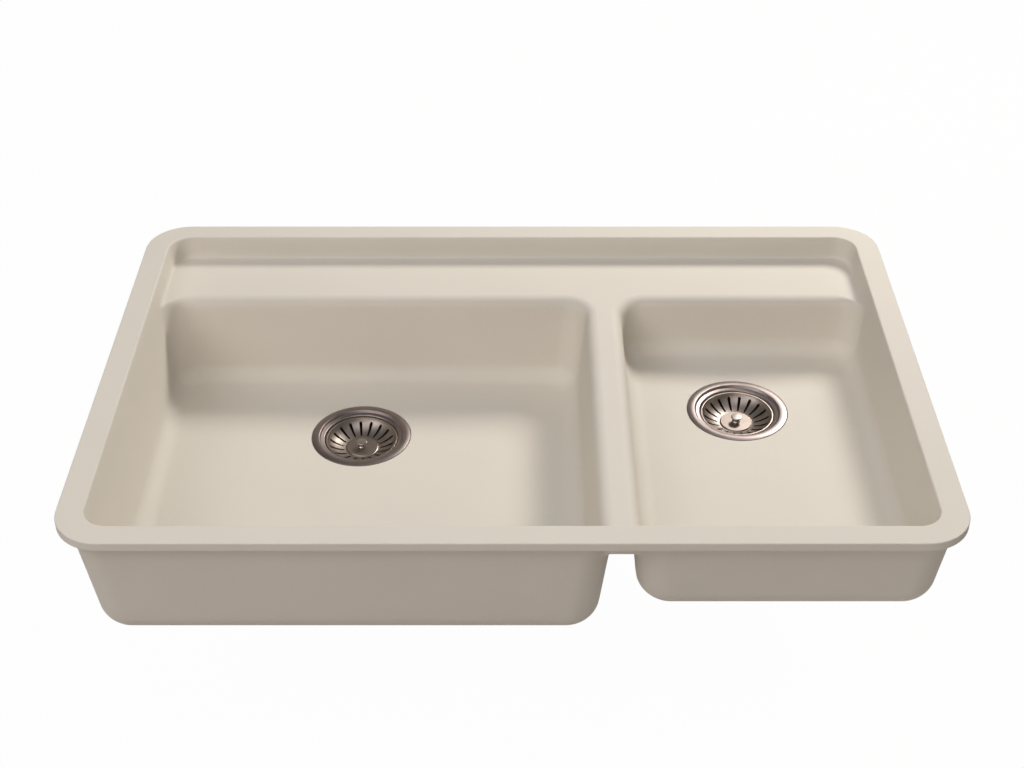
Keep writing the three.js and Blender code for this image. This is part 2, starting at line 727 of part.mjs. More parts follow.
// A tapered rubber disc: its flank runs beside the cone of the outlet's seat.
function stopperSealSolid() {
  const flankGap = SEAT_GAP * Math.SQRT2;
  const radiusAt = (height) => STOPPER_SEAT_RADIUS - (seatLip - height) - flankGap;
  const lipTop = seatLip;
  return revolve([
    [shaftBore, stopperTop],
    [shaftBore, stopperFoot],
    [radiusAt(stopperFoot), stopperFoot],
    [radiusAt(lipTop), lipTop],
    [radiusAt(lipTop), stopperTop],
  ], RING_SEGMENTS);
}

// ---------- tail tube and its coupling ----------

const tailWasherTop = outletEnd - SEAT_GAP;
const tailFlangeTop = tailWasherTop - TAIL_WASHER_THICKNESS - SEAT_GAP;
const tailFlangeFoot = tailFlangeTop - TAIL_FLANGE_THICKNESS;
const tailTubeBore = TAIL_TUBE_RADIUS - TAIL_TUBE_WALL;
const tailEnd = tailFlangeTop - TAIL_LENGTH;
const couplingBore = clearBore(OUTLET_THREAD_RADIUS + RUNNING_GAP, SMALL_ROUND_SEGMENTS);
const couplingShoulder = tailFlangeFoot - SEAT_GAP;
const couplingTop = outletEnd + COUPLING_GRIP;

function tailWasherSolid() {
  const profile = ringProfile(OUTLET_BORE_RADIUS, OUTLET_THREAD_RADIUS - RUNNING_GAP,
    tailWasherTop, TAIL_WASHER_THICKNESS);
  return revolve(profile, SMALL_ROUND_SEGMENTS);
}

function tailpieceSolid() {
  return revolve([
    [tailTubeBore, tailFlangeTop],
    [tailTubeBore, tailEnd],
    [TAIL_TUBE_RADIUS, tailEnd],
    [TAIL_TUBE_RADIUS, tailFlangeFoot],
    [OUTLET_THREAD_RADIUS - RUNNING_GAP, tailFlangeFoot],
    [OUTLET_THREAD_RADIUS - RUNNING_GAP, tailFlangeTop],
  ], SMALL_ROUND_SEGMENTS);
}

// The nut that clamps the tube's flange to the outlet, with round grip ribs.
function couplingNutSolid() {
  const outer = couplingBore + COUPLING_WALL;
  const lipBore = clearBore(TAIL_TUBE_RADIUS + RUNNING_GAP, SMALL_ROUND_SEGMENTS);
  const foot = couplingShoulder - COUPLING_LIP;
  const shell = revolve([
    [couplingBore, couplingTop],
    [couplingBore, couplingShoulder],
    [lipBore, couplingShoulder],
    [lipBore, foot],
    [outer, foot],
    [outer, couplingTop],
  ], SMALL_ROUND_SEGMENTS);
  const height = couplingTop - foot;
  const rib = new THREE.CylinderGeometry(COUPLING_RIB_RADIUS, COUPLING_RIB_RADIUS, height,
    GRIP_RIB_SIDES);
  rib.rotateX(Math.PI / 2);
  rib.translate(outer, 0, foot + height / 2);
  return aroundAxis(solidOf(rib), COUPLING_RIB_COUNT).reduce((sum, one) => sum.add(one), shell);
}

// ---------- the assembly ----------

function part(name, solid, finish) {
  const mesh = new THREE.Mesh(geometryOf(solid), new THREE.MeshStandardMaterial(finish));
  mesh.name = name;
  return mesh;
}

const drainPieces = [
  ['strainer_body', strainerBodySolid, SATIN_STEEL],
  ['putty_ring', puttyRingSolid, PUTTY],
  ['rubber_gasket', rubberGasketSolid, BLACK_RUBBER],
  ['friction_washer', frictionWasherSolid, FIBRE],
  ['locknut', locknutSolid, CAST_BRASS],
  ['basket', basketSolid, SATIN_STEEL],
  ['basket_stem', stemSolid, SATIN_STEEL],
  ['stopper_plate', stopperPlateSolid, SATIN_STEEL],
  ['stopper_seal', stopperSealSolid, BLACK_RUBBER],
  ['tail_washer', tailWasherSolid, WHITE_NYLON],
  ['tailpiece', tailpieceSolid, CHROME],
  ['coupling_nut', couplingNutSolid, CHROME],
];

// One complete drain, placed with its floor plane at the bowl's floor. `turn` is the
// angle in degrees at which its basket was dropped in.
function drainAssembly(prefix, bowl, turn) {
  const drain = new THREE.Group();
  drain.position.set(bowl.drainX, drainY, -bowl.depth);
  drainPieces.forEach(([name, build, finish]) => {
    const piece = part(`${prefix}_${name}`, build(), finish);
    if (name === 'basket') piece.rotation.z = THREE.MathUtils.degToRad(turn);
    drain.add(piece);
  });
  return drain;
}

const sink = new THREE.Group();
sink.add(part('basin', basinSolid(), CAST_STONE));
sink.add(drainAssembly('large', largeBowl, LARGE_BASKET_TURN));
sink.add(drainAssembly('small', smallBowl, SMALL_BASKET_TURN));

export default sink;
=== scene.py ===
"""Double bowl kitchen sink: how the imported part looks.

The basin is one surface over a crowded lattice, and everything at the two drains is a
turned section. Sizes are millimetres, and turn into metres when a mesh is made.
The frame is the part's own: +X right, +Y back, +Z up, with the origin in the middle of
the flange's top face.
"""

import bmesh
import bpy
import numpy as np
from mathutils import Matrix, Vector


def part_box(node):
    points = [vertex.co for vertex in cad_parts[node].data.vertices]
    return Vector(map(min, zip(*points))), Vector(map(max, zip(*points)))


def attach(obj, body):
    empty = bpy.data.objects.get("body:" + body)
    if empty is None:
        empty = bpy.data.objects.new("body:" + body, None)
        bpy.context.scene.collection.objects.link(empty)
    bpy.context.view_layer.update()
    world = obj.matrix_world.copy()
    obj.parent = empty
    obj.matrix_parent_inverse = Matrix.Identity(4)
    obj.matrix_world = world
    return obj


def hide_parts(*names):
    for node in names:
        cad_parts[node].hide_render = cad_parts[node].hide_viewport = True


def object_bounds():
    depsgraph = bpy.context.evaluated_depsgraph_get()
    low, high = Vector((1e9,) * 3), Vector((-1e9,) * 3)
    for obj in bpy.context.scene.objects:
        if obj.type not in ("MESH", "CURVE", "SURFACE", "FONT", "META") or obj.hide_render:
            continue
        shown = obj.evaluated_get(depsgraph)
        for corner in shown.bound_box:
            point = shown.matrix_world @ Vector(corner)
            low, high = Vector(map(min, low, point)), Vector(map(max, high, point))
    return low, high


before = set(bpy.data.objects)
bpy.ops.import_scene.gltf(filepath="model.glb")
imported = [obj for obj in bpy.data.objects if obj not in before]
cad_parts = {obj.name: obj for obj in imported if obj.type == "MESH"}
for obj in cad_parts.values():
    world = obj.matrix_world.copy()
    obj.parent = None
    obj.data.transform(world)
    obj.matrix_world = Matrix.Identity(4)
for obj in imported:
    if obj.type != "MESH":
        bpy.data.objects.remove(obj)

CAD_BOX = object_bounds()
MM = 0.001

# ---------- sizes of the casting ----------

FLANGE_THICKNESS = 9.5
FLANGE_CORNER_RADIUS = 49
FLANGE_EDGE_ROUND = 0.9
RIM_WIDTH = 27
RIM_INNER_ROUND = 2
OPENING_CORNER_RADIUS = 25
DRAFT = np.radians(6.1)

LEDGE_DROP = 26
LEDGE_THICKNESS = 10
LEDGE_WIDTH = 84
LEDGE_FOOT_ROUND = 4
LEDGE_EDGE_ROUND = 12
SMALL_BOWL_LENGTH = 284.6
DIVIDER_TOP_WIDTH = 38.6
BOWL_CORNER_RADIUS = 28

FLOOR_FALL = 3
FLOOR_FILLET = 21
TRAY_OUTER_FILLET = 13.5
SIDE_WALL = 11.6
FRONT_WALL = 21.8
BACK_WALL = 11.6
DIVIDER_WALL = 9.3
FLOOR_THICKNESS = 9.6
DRAIN_FLOOR_THICKNESS = 15.5
OUTER_CORNER_RADIUS = 32.3
CASTING_COVE = 5
FLANGE_COVE = 3.5

DRAIN_HOLE_RADIUS = 45
DRAIN_RECESS_RADIUS = 57.1
DRAIN_RECESS_DEPTH = 4
DRAIN_RECESS_ROUND = 0.5
DRAIN_FLAT_RADIUS = 64.5

# ---------- sizes of the strainers; heights run from the bowl's floor ----------

STRAINER_FLANGE_RADIUS = 56.5
STRAINER_CROWN = 0.9
SHEET = 1.2
CUP_BORE_RADIUS = 42
CUP_WALL_FOOT = -33
CUP_BOTTOM_ROUND = 5.5
SEAT_RADIUS = 24.8
SEAT_LIP = -40.1
OUTLET_BORE_RADIUS = 20.3
OUTLET_THREAD_RADIUS = 23.9
OUTLET_TOP = -44.6
OUTLET_END = -66.6
THREAD_PITCH = 2
THREAD_DEPTH = 0.7

BASKET_RIM_RADIUS = 41.3
BASKET_RIM_TOP = -4
BASKET_WALL_RADIUS = 38.9
BASKET_DISC_RADIUS = 17.9
BASKET_SHEET = 1
BASKET_FOOT = -16.9
BASKET_DISC_TOP = -15.5
NECK_BORE_RADIUS = 3.5
SLOT_COUNT = 18
SLOT_OUTER_RADIUS = 37
SLOT_OUTER_WIDTH = 3.6
SLOT_INNER_RADIUS = 20.8
SLOT_INNER_WIDTH = 2
BASKET_TURN = {"large": 16, "small": 18.3}

GAP = 0.3
KNOB_RADIUS = 6.2
KNOB_FOOT = BASKET_DISC_TOP + GAP
KNOB_TOP = KNOB_FOOT + 6.6
NECK_RADIUS = 3.2
COLLAR_RADIUS = 7.5
COLLAR_TOP = BASKET_DISC_TOP - BASKET_SHEET - GAP
COLLAR_FOOT = COLLAR_TOP - 2
SHAFT_RADIUS = 4
RIVET_RADIUS = 7
RIVET_TOP = -43.7
RIVET_FOOT = RIVET_TOP - 2

SHAFT_HOLE_RADIUS = 4.4
PLATE_RADIUS = 17
PLATE_TOP = -35.9
PLATE_FOOT = PLATE_TOP - 1.2
SEAL_TOP = PLATE_FOOT - GAP
SEAL_FOOT = RIVET_TOP + GAP

GASKET_BORE_RADIUS = 43.9
GASKET_RADIUS = 56.3
GASKET_TOP = -DRAIN_FLOOR_THICKNESS - GAP
GASKET_FOOT = GASKET_TOP - 3
FRICTION_RADIUS = 55.1
FRICTION_TOP = GASKET_FOOT - GAP
FRICTION_FOOT = FRICTION_TOP - 1.2
LOCKNUT_TOP = FRICTION_FOOT - GAP
LOCKNUT_FOOT = LOCKNUT_TOP - 9

TAIL_FLANGE_RADIUS = 23.6
TAIL_BORE_RADIUS = 17.95
TAIL_RADIUS = 19.05
TAIL_WASHER_TOP = OUTLET_END - GAP
TAIL_WASHER_FOOT = TAIL_WASHER_TOP - 2
TAIL_TOP = TAIL_WASHER_FOOT - GAP
TAIL_FLANGE_FOOT = TAIL_TOP - 1.5
TAIL_END = TAIL_TOP - 100

# ---------- what the frame says ----------

HALF_LENGTH, HALF_WIDTH = np.array(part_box("basin")[1][:2]) / MM


def drain_centre(prefix):
    """The middle of a bowl's floor at its drain: over its tail tube, at its strainer's foot."""
    low, high = (np.array(corner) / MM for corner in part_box(f"{prefix}_tailpiece"))
    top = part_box(f"{prefix}_strainer_body")[1][2] / MM
    return np.array([(low[0] + high[0]) / 2, (low[1] + high[1]) / 2, top - STRAINER_CROWN])


DRAINS = {prefix: drain_centre(prefix) for prefix in ("large", "small")}
SIDE = {"large": -1, "small": 1}

# ---------- meshes from arrays ----------


def mesh_of(name, points, quads):
    """A mesh from an array of points in millimetres and an array of four-cornered faces."""
    mesh = bpy.data.meshes.new(name)
    mesh.vertices.add(len(points))
    mesh.vertices.foreach_set("co", (points * MM).astype(np.float32).ravel())
    mesh.loops.add(quads.size)
    mesh.loops.foreach_set("vertex_index", quads.astype(np.int32).ravel())
    mesh.polygons.add(len(quads))
    mesh.polygons.foreach_set("loop_start", np.arange(0, quads.size, 4, dtype=np.int32))
    mesh.update(calc_edges=True)
    return mesh


def lattice_quads(number, wrap_rows=False, wrap_columns=False):
    """Faces between neighbours of a grid of points' numbers, closed round where asked."""
    if wrap_rows:
        number = np.vstack([number, number[:1]])
    if wrap_columns:
        number = np.hstack([number, number[:, :1]])
    corners = (number[:-1, :-1], number[1:, :-1], number[1:, 1:], number[:-1, 1:])
    return np.stack([corner.ravel() for corner in corners], axis=1)


def close_poles(mesh):
    """Merges points that share a place and turns every face outwards."""
    work = bmesh.new()
    work.from_mesh(mesh)
    bmesh.ops.remove_doubles(work, verts=work.verts, dist=1e-7)
    bmesh.ops.recalc_face_normals(work, faces=work.faces)
    work.to_mesh(mesh)
    work.free()


def put_in_scene(name, data):
    """A new object at the origin."""
    thing = bpy.data.objects.new(name, data)
    bpy.context.scene.collection.objects.link(thing)
    return thing


def carve(mesh, cutter):
    """The mesh less the cutter's mesh, both closed."""
    body = put_in_scene("carved_body", mesh)
    tool = put_in_scene("carving_tool", cutter)
    cut = body.modifiers.new("cut", "BOOLEAN")
    cut.operation = "DIFFERENCE"
    cut.solver = "MANIFOLD"
    cut.object = tool
    bpy.context.view_layer.update()
    evaluated = body.evaluated_get(bpy.context.evaluated_depsgraph_get())
    carved = bpy.data.meshes.new_from_object(evaluated)
    carved.name = mesh.name
    for each in (body, tool):
        bpy.data.objects.remove(each)
    return carved


# ---------- the basin: plans of its walls at any depth ----------


def distance_inside(x, y, area, front_radius, back_radius):
    """How far a point lies inside a rectangle with rounded corners, negative outside.

    Away from the corners it is the distance to the nearest side; in a corner it is the
    corner's radius less the distance to the corner's centre.
    """
    left, right, front, back = area
    radius = np.where(y < (front + back) / 2, front_radius, back_radius)
    across = np.maximum(left + radius - x, x - right + radius)
    along = np.maximum(front + radius - y, y - back + radius)
    beyond = np.hypot(np.maximum(across, 0), np.maximum(along, 0))
    return radius - beyond - np.minimum(np.maximum(across, along), 0)


def fillet_inset(depth, foot, radius):
    """How far a fillet stands in from its drafted wall at a depth.

    Its circle touches the wall and the foot's plane, so with the sine of the angle
    round it, the inset is radius / cos(draft) - radius * cosine - radius * sine * tan(draft).
    """
    sine = np.clip((depth - foot + radius) / radius, np.sin(DRAFT), 1)
    cosine = np.sqrt(1 - sine ** 2)
    return radius * (1 / np.cos(DRAFT) - cosine - sine * np.tan(DRAFT))


def quarter_round(distance, radius):
    """How far a quarter round has left one of its sides, `distance` along it from the
    other: a convex edge's draw back, or a concave cove's rise beside a wall."""
    share = np.clip(1 - distance / np.maximum(radius, 1e-6), 0, 1)
    return radius * (1 - np.sqrt(1 - share ** 2))


def opening_half(depth):
    """Half the opening's length and width at a depth: the rim's, drafted inwards."""
    inset = RIM_WIDTH + depth * np.tan(DRAFT)
    return HALF_LENGTH - inset, HALF_WIDTH - inset


LEDGE_HALF_LENGTH, LEDGE_HALF_WIDTH = opening_half(LEDGE_DROP)
DIVIDER_X = LEDGE_HALF_LENGTH - SMALL_BOWL_LENGTH - DIVIDER_TOP_WIDTH / 2
BACK_WALL_Y = LEDGE_HALF_WIDTH - LEDGE_WIDTH - LEDGE_EDGE_ROUND


def tray_inside(x, y, depth):
    """Room inside the tray's hollow: its walls, rounded at the rim and at the ledge."""
    half_x, half_y = opening_half(depth)
    radius = OPENING_CORNER_RADIUS
    room = distance_inside(x, y, (-half_x, half_x, -half_y, half_y), radius, radius)
    room = room + quarter_round(depth, RIM_INNER_ROUND)
    return room - fillet_inset(depth, LEDGE_DROP, LEDGE_FOOT_ROUND)


def tray_outside(x, y, depth):
    """Room inside the tray's outer wall, down to its rounded foot."""
    half_x, half_y = opening_half(depth)
    area = (-half_x - SIDE_WALL, half_x + SIDE_WALL, -half_y - SIDE_WALL, half_y + BACK_WALL)
    room = distance_inside(x, y, area, OUTER_CORNER_RADIUS, OUTER_CORNER_RADIUS)
    return room - fillet_inset(depth, LEDGE_DROP + LEDGE_THICKNESS, TRAY_OUTER_FILLET)


def bowl_walls(side, depth):
    """A bowl's four walls at a depth: the divider's face and the back wall lean from
    where they would meet the ledge, the others from the rim."""
    half_x, half_y = opening_half(depth)
    lean = (depth - LEDGE_DROP) * np.tan(DRAFT)
    divider = DIVIDER_X + side * (DIVIDER_TOP_WIDTH / 2 + lean)
    left, right = (-half_x, divider) if side < 0 else (divider, half_x)
    return left, right, -half_y, BACK_WALL_Y - lean


def bowl_inside(prefix):
    """Room inside a bowl, which rounds over the ledge's and the divider's edges."""
    side = SIDE[prefix]
    foot = -DRAINS[prefix][2] - FLOOR_FALL

    def room(x, y, depth):
        over = quarter_round(depth - LEDGE_DROP, LEDGE_EDGE_ROUND)
        left, right, front, back = bowl_walls(side, depth)
        left, right = (left, right + over) if side < 0 else (left - over, right)
        area = (left, right, front, back + over)
        corner = BOWL_CORNER_RADIUS + over
        inside = distance_inside(x, y, area, OPENING_CORNER_RADIUS, corner)
        return inside - fillet_inset(depth, foot, FLOOR_FILLET)

    return room


def bowl_outside(prefix):
    """Room inside a bowl's outer wall."""
    side = SIDE[prefix]
    foot = -DRAINS[prefix][2] - FLOOR_FALL + FLOOR_THICKNESS
    walls = (SIDE_WALL, DIVIDER_WALL) if side < 0 else (DIVIDER_WALL, SIDE_WALL)

    def room(x, y, depth):
        left, right, front, back = bowl_walls(side, depth)
        area = (left - walls[0], right + walls[1], front - FRONT_WALL, back + BACK_WALL)
        corner = BOWL_CORNER_RADIUS + BACK_WALL
        inside = distance_inside(x, y, area, OUTER_CORNER_RADIUS, corner)
        return inside - fillet_inset(depth, foot, FLOOR_FILLET + FLOOR_THICKNESS)

    return room


def wall_depth(room, x, y, top, foot, halvings=26):
    """The depth at which a wall passes under each point: the room shrinks with depth, and
    halving the span between top and foot finds where it runs out."""
    above = np.zeros_like(x) + top
    below = np.zeros_like(x) + foot
    for _ in range(halvings):
        middle = (above + below) / 2
        clear = room(x, y, middle) >= 0
        above = np.where(clear, middle, above)
        below = np.where(clear, below, middle)
    return np.where(room(x, y, np.zeros_like(x) + top) >= 0, below, 0)


def floor_fall(prefix, room, x, y, foot, fall):
    """How far a floor has fallen below its foot: evenly along each bearing, from none at
    the fillets' feet to the whole fall at the flat ring round the drain. The share of the
    way to the walls is the fourth-power norm of the shares along X and Y."""
    centre = DRAINS[prefix]
    inset = FLOOR_FILLET * (1 / np.cos(DRAFT) - np.tan(DRAFT))
    left, right, front, back = bowl_walls(SIDE[prefix], foot)
    step_x, step_y = x - centre[0], y - centre[1]
    share_x = step_x / np.where(step_x > 0, right - inset - centre[0], left + inset - centre[0])
    share_y = step_y / np.where(step_y > 0, back - inset - centre[1], front + inset - centre[1])
    share = np.clip((share_x ** 4 + share_y ** 4) ** 0.25, 1e-6, 1)
    reach = np.hypot(step_x, step_y)
    from_ring = (reach - DRAIN_FLAT_RADIUS) / (reach / share - DRAIN_FLAT_RADIUS)
    fallen = fall * (1 - np.clip(from_ring, 0, 1))
    return np.where(room(x, y, np.zeros_like(x) + foot) >= 0, fallen, 0)


def top_depth(x, y):
    """Depth of the upper surface: the tray's, and a bowl's wherever the tray opens into it."""
    into_bowl = LEDGE_DROP - LEDGE_FOOT_ROUND - RIM_INNER_ROUND
    tray = wall_depth(tray_inside, x, y, 0, LEDGE_DROP)
    depth = tray
    for prefix, centre in DRAINS.items():
        room = bowl_inside(prefix)
        foot = -centre[2] - FLOOR_FALL
        bowl = wall_depth(room, x, y, into_bowl, foot)
        bowl = bowl + floor_fall(prefix, room, x, y, foot, FLOOR_FALL)
        depth = np.where(tray >= into_bowl, np.maximum(depth, bowl), depth)
    return depth


def underside_depth(x, y):
    """Depth of the lower surface: the deepest of flange, tray and bowls, each standing in
    a cove of the one above."""
    tray_foot = LEDGE_DROP + LEDGE_THICKNESS
    under_flange = FLANGE_THICKNESS + FLANGE_COVE
    walls = (tray_outside, bowl_outside("large"), bowl_outside("small"))
    nearest_wall = np.max([wall(x, y, under_flange) for wall in walls], axis=0)
    flange = FLANGE_THICKNESS + quarter_round(-nearest_wall, FLANGE_COVE)
    tray = wall_depth(tray_outside, x, y, FLANGE_THICKNESS, tray_foot)
    carrier = np.maximum(flange, tray)
    depth = carrier
    cove_radius = CASTING_COVE * np.clip((tray - FLANGE_THICKNESS) / LEDGE_DROP, 0, 1)
    for prefix, centre in DRAINS.items():
        room = bowl_outside(prefix)
        foot = -centre[2] - FLOOR_FALL + FLOOR_THICKNESS
        bowl = wall_depth(room, x, y, FLANGE_THICKNESS, foot)
        thickening = FLOOR_FALL + DRAIN_FLOOR_THICKNESS - FLOOR_THICKNESS
        bowl = bowl + floor_fall(prefix, room, x, y, foot, thickening)
        outside = -room(x, y, carrier + cove_radius)
        coved = carrier + quarter_round(outside, cove_radius)
        depth = np.maximum(depth, np.maximum(bowl, coved))
    return depth


# ---------- the basin: its lattice ----------

LINES_X = 246
LINES_Y = 168
TOP_BORDER = OPENING_CORNER_RADIUS + RIM_INNER_ROUND
UNDERSIDE_MARGIN = 2.6
UNDERSIDE_BORDER = OUTER_CORNER_RADIUS + UNDERSIDE_MARGIN
FACE_ROWS = 9


def corner_centres(half_x, front, back):
    """The rectangle through the centres of four corners: its low and its high corner."""
    return np.array([-half_x, -front]), np.array([half_x, back])


OPENING_HALF = np.array(opening_half(0))
TOP_CORNERS = corner_centres(*(OPENING_HALF[[0, 1, 1]] - OPENING_CORNER_RADIUS))
UNDERSIDE_CORNERS = corner_centres(
    *(OPENING_HALF[[0, 1, 1]] + [SIDE_WALL, FRONT_WALL, BACK_WALL] - OUTER_CORNER_RADIUS))
FLANGE_CORNERS = corner_centres(
    *(np.array([HALF_LENGTH, HALF_WIDTH, HALF_WIDTH]) - FLANGE_CORNER_RADIUS))


def stations(count, marks, spacings):
    """Lines along one axis, crowded where the surface turns: between two marks their
    number is in proportion to the length over the spacing given for it."""
    crowd = np.concatenate([[0], np.cumsum(np.diff(marks) / np.array(spacings))])
    return np.interp(np.linspace(0, crowd[-1], count), crowd, marks)


def bent_lattice(lines_x, lines_y, corners):
    """The lattice's points in plan, as an array [x line, y line, 2].

    Beyond the corners' centres the square grid bends onto arcs: the larger of a point's
    two offsets is its arc's radius, and the ratio of the smaller to the larger, times 45
    degrees, its bearing from the nearer axis.
    """
    x, y = np.meshgrid(lines_x, lines_y, indexing="ij")
    low, high = corners
    centre_x, centre_y = np.clip(x, low[0], high[0]), np.clip(y, low[1], high[1])
    over_x, over_y = np.abs(x - centre_x), np.abs(y - centre_y)
    radius = np.maximum(np.maximum(over_x, over_y), 1e-9)
    ratio = np.minimum(over_x, over_y) / radius
    bearing = np.pi / 4 * np.where(over_x > over_y, ratio, 2 - ratio)
    bent_x = centre_x + np.sign(x) * radius * np.cos(bearing)
    bent_y = centre_y + np.sign(y) * radius * np.sin(bearing)
    corner = (over_x > 0) & (over_y > 0)
    return np.stack([np.where(corner, bent_x, x), np.where(corner, bent_y, y)], axis=-1)


def border(grid):
    """The grid's outer entries, anticlockwise from the first."""
    sides = (grid[:-1, 0], grid[-1, :-1], grid[:0:-1, -1], grid[0, :0:-1])
    return np.concatenate(sides)


def top_lattice():
    """Lines close together over the walls, their fillets and the rounded edges.

    Each mark stands some millimetres from a wall's upper edge, on the side named by the
    sign, and each spacing is the distance between lines from one mark to the next.
    """
    edge_x, edge_y = TOP_CORNERS[1] + TOP_BORDER
    rim_x = edge_x - RIM_INNER_ROUND
    rim_y = edge_y - RIM_INNER_ROUND
    left, right = DIVIDER_X - DIVIDER_TOP_WIDTH / 2, DIVIDER_X + DIVIDER_TOP_WIDTH / 2
    marks_x = [-edge_x, -rim_x, -rim_x + 12, -rim_x + 35, left - 36, left - 12,
               left + 13, right - 13, right + 9, right + 30, rim_x - 30, rim_x - 8,
               rim_x, edge_x]
    marks_y = [-edge_y, -rim_y, -rim_y + 12, -rim_y + 36, BACK_WALL_Y - 36,
               BACK_WALL_Y - 12, BACK_WALL_Y + 13, rim_y - 9, rim_y, edge_y]
    across = [0.4, 1.1, 1.3, 11, 1.3, 0.9, 3, 0.9, 1.3, 11, 1.3, 1.1, 0.4]
    along = [0.4, 1.1, 1.3, 11, 1.3, 0.9, 11, 0.9, 0.4]
    return stations(LINES_X, marks_x, across), stations(LINES_Y, marks_y, along)


def underside_lattice():
    """Lines close together over the outer walls, their fillets and the coves, marked and
    spaced as in top_lattice()."""
    edge_x, back = UNDERSIDE_CORNERS[1] + UNDERSIDE_BORDER
    front = UNDERSIDE_CORNERS[0][1] - UNDERSIDE_BORDER
    marks_x = [-edge_x, -edge_x + 16, -edge_x + 46, DIVIDER_X - 52, DIVIDER_X - 9,
               DIVIDER_X + 9, DIVIDER_X + 46, edge_x - 46, edge_x - 16, edge_x]
    marks_y = [front, front + 16, front + 49, BACK_WALL_Y - 36, BACK_WALL_Y - 1,
               BACK_WALL_Y + 18, back - 24, back - 10, back]
    across = [1, 1.6, 12, 1.6, 1, 1.6, 12, 1.6, 1]
    along = [1, 1.6, 12, 1.6, 1, 8, 1.4, 0.8]
    return stations(LINES_X, marks_x, across), stations(LINES_Y, marks_y, along)


def round_the_flange(edge, corners):
    """Where border points look straight out at the flange's outline: their distance along
    it, the nearest point between the flange's corner centres, and the bearing outwards."""
    edge = np.vstack([edge, edge[:1]])
    centre = np.clip(edge, *corners)
    outward = edge - centre
    bearing = np.unwrap(np.arctan2(outward[:, 1], outward[:, 0]))
    low, high = FLANGE_CORNERS
    centre = low + (centre - corners[0]) / (corners[1] - corners[0]) * (high - low)
    step = np.linalg.norm(np.diff(centre, axis=0), axis=1)
    step = step + FLANGE_CORNER_RADIUS * np.diff(bearing)
    return np.concatenate([[0], np.cumsum(step)]), centre[:, 0], centre[:, 1], bearing


def flange_rows(top_edge, underside_edge):
    """Rows of points from the upper lattice's border, over the flange's two rounded
    edges, to the lower lattice's border.

    Round an edge the reach grows as the sine of the turn and the depth as one less its
    cosine. Down the face between them, the places along the outline move evenly from
    those opposite the upper border's points to those opposite the lower's.
    """
    above = round_the_flange(top_edge, TOP_CORNERS)
    below = round_the_flange(underside_edge, UNDERSIDE_CORNERS)
    flat_reach = FLANGE_CORNER_RADIUS - FLANGE_EDGE_ROUND
    turn = np.linspace(0, np.pi / 2, 5)
    rounded = flat_reach + FLANGE_EDGE_ROUND * np.sin(turn)
    drop = FLANGE_EDGE_ROUND * (1 - np.cos(turn))
    face = np.linspace(0, 1, FACE_ROWS)[1:-1]
    face_depth = FLANGE_EDGE_ROUND + face * (FLANGE_THICKNESS - 2 * FLANGE_EDGE_ROUND)
    collar, low_collar = 0.8, 0.3
    reaches = [flat_reach - collar, *rounded, *np.full(len(face), FLANGE_CORNER_RADIUS),
               *rounded[::-1], flat_reach - low_collar]
    depths = [0, *drop, *face_depth, *(FLANGE_THICKNESS - drop[::-1]), FLANGE_THICKNESS]
    shares = [0] * (len(turn) + 1) + list(face) + [1] * (len(turn) + 1)

    def outwards(bearing):
        return np.column_stack([np.cos(bearing), np.sin(bearing)])[:len(top_edge)]

    rows = [(top_edge + collar * outwards(above[3]), 0)]
    for share, reach, depth in zip(shares, reaches, depths):
        along = (1 - share) * above[0] + share * below[0]
        centre_x, centre_y, bearing = (np.interp(along, above[0], each) for each in above[1:])
        centre = np.column_stack([centre_x, centre_y])[:len(top_edge)]
        rows.append((centre + reach * outwards(bearing), depth))
    rows.append((underside_edge + low_collar * outwards(below[3]), FLANGE_THICKNESS))
    return [np.column_stack([plan, np.full(len(plan), -depth)]) for plan, depth in rows]


def basin_mesh():
    """The casting: an upper and a lower lattice of equal counts, joined round the flange."""
    above = bent_lattice(*top_lattice(), TOP_CORNERS)
    below = bent_lattice(*underside_lattice(), UNDERSIDE_CORNERS)
    upper = np.dstack([above, -top_depth(above[..., 0], above[..., 1])])
    lower = np.dstack([below, -underside_depth(below[..., 0], below[..., 1])])
    rows = flange_rows(border(above), border(below))
    count = LINES_X * LINES_Y
    number = np.arange(count).reshape(LINES_X, LINES_Y)
    upper_quads = lattice_quads(number)
    lower_quads = upper_quads[:, ::-1] + count
    loop = len(rows[0])
    strip = 2 * count + np.arange(len(rows) * loop).reshape(len(rows), loop)
    rings = np.vstack([border(number), strip, border(number) + count])
    strip_quads = lattice_quads(rings, wrap_columns=True)
    points = np.vstack([upper.reshape(-1, 3), lower.reshape(-1, 3), *rows])
    return mesh_of("basin_casting", points, np.vstack([upper_quads, lower_quads, strip_quads]))


# ---------- turned pieces ----------

ARC_STEPS = 6


def section(*corners):
    """A closed section of straight sides, its corners (radius, height, round).

    An arc touches both its sides at round / tan(half the corner's angle) from the corner,
    and is the even turn from one touching point to the other about its centre.
    """
    corners = np.array(corners, float)
    path = []
    for before, at, after in zip(np.roll(corners, 1, 0), corners, np.roll(corners, -1, 0)):
        here, rounding = at[:2], at[2]
        if rounding == 0:
            path.append(here[None])
            continue
        back = (before[:2] - here) / np.linalg.norm(before[:2] - here)
        onward = (after[:2] - here) / np.linalg.norm(after[:2] - here)
        half = np.arccos(np.clip(back @ onward, -1, 1)) / 2
        middle = (back + onward) / np.linalg.norm(back + onward)
        centre = here + middle * rounding / np.sin(half)
        first = here + back * rounding / np.tan(half) - centre
        last = here + onward * rounding / np.tan(half) - centre
        sweep = np.pi - 2 * half
        share = np.linspace(0, 1, ARC_STEPS)[:, None]
        turned_by = np.sin((1 - share) * sweep) * first + np.sin(share * sweep) * last
        path.append(centre + turned_by / np.sin(sweep))
    return np.concatenate(path)


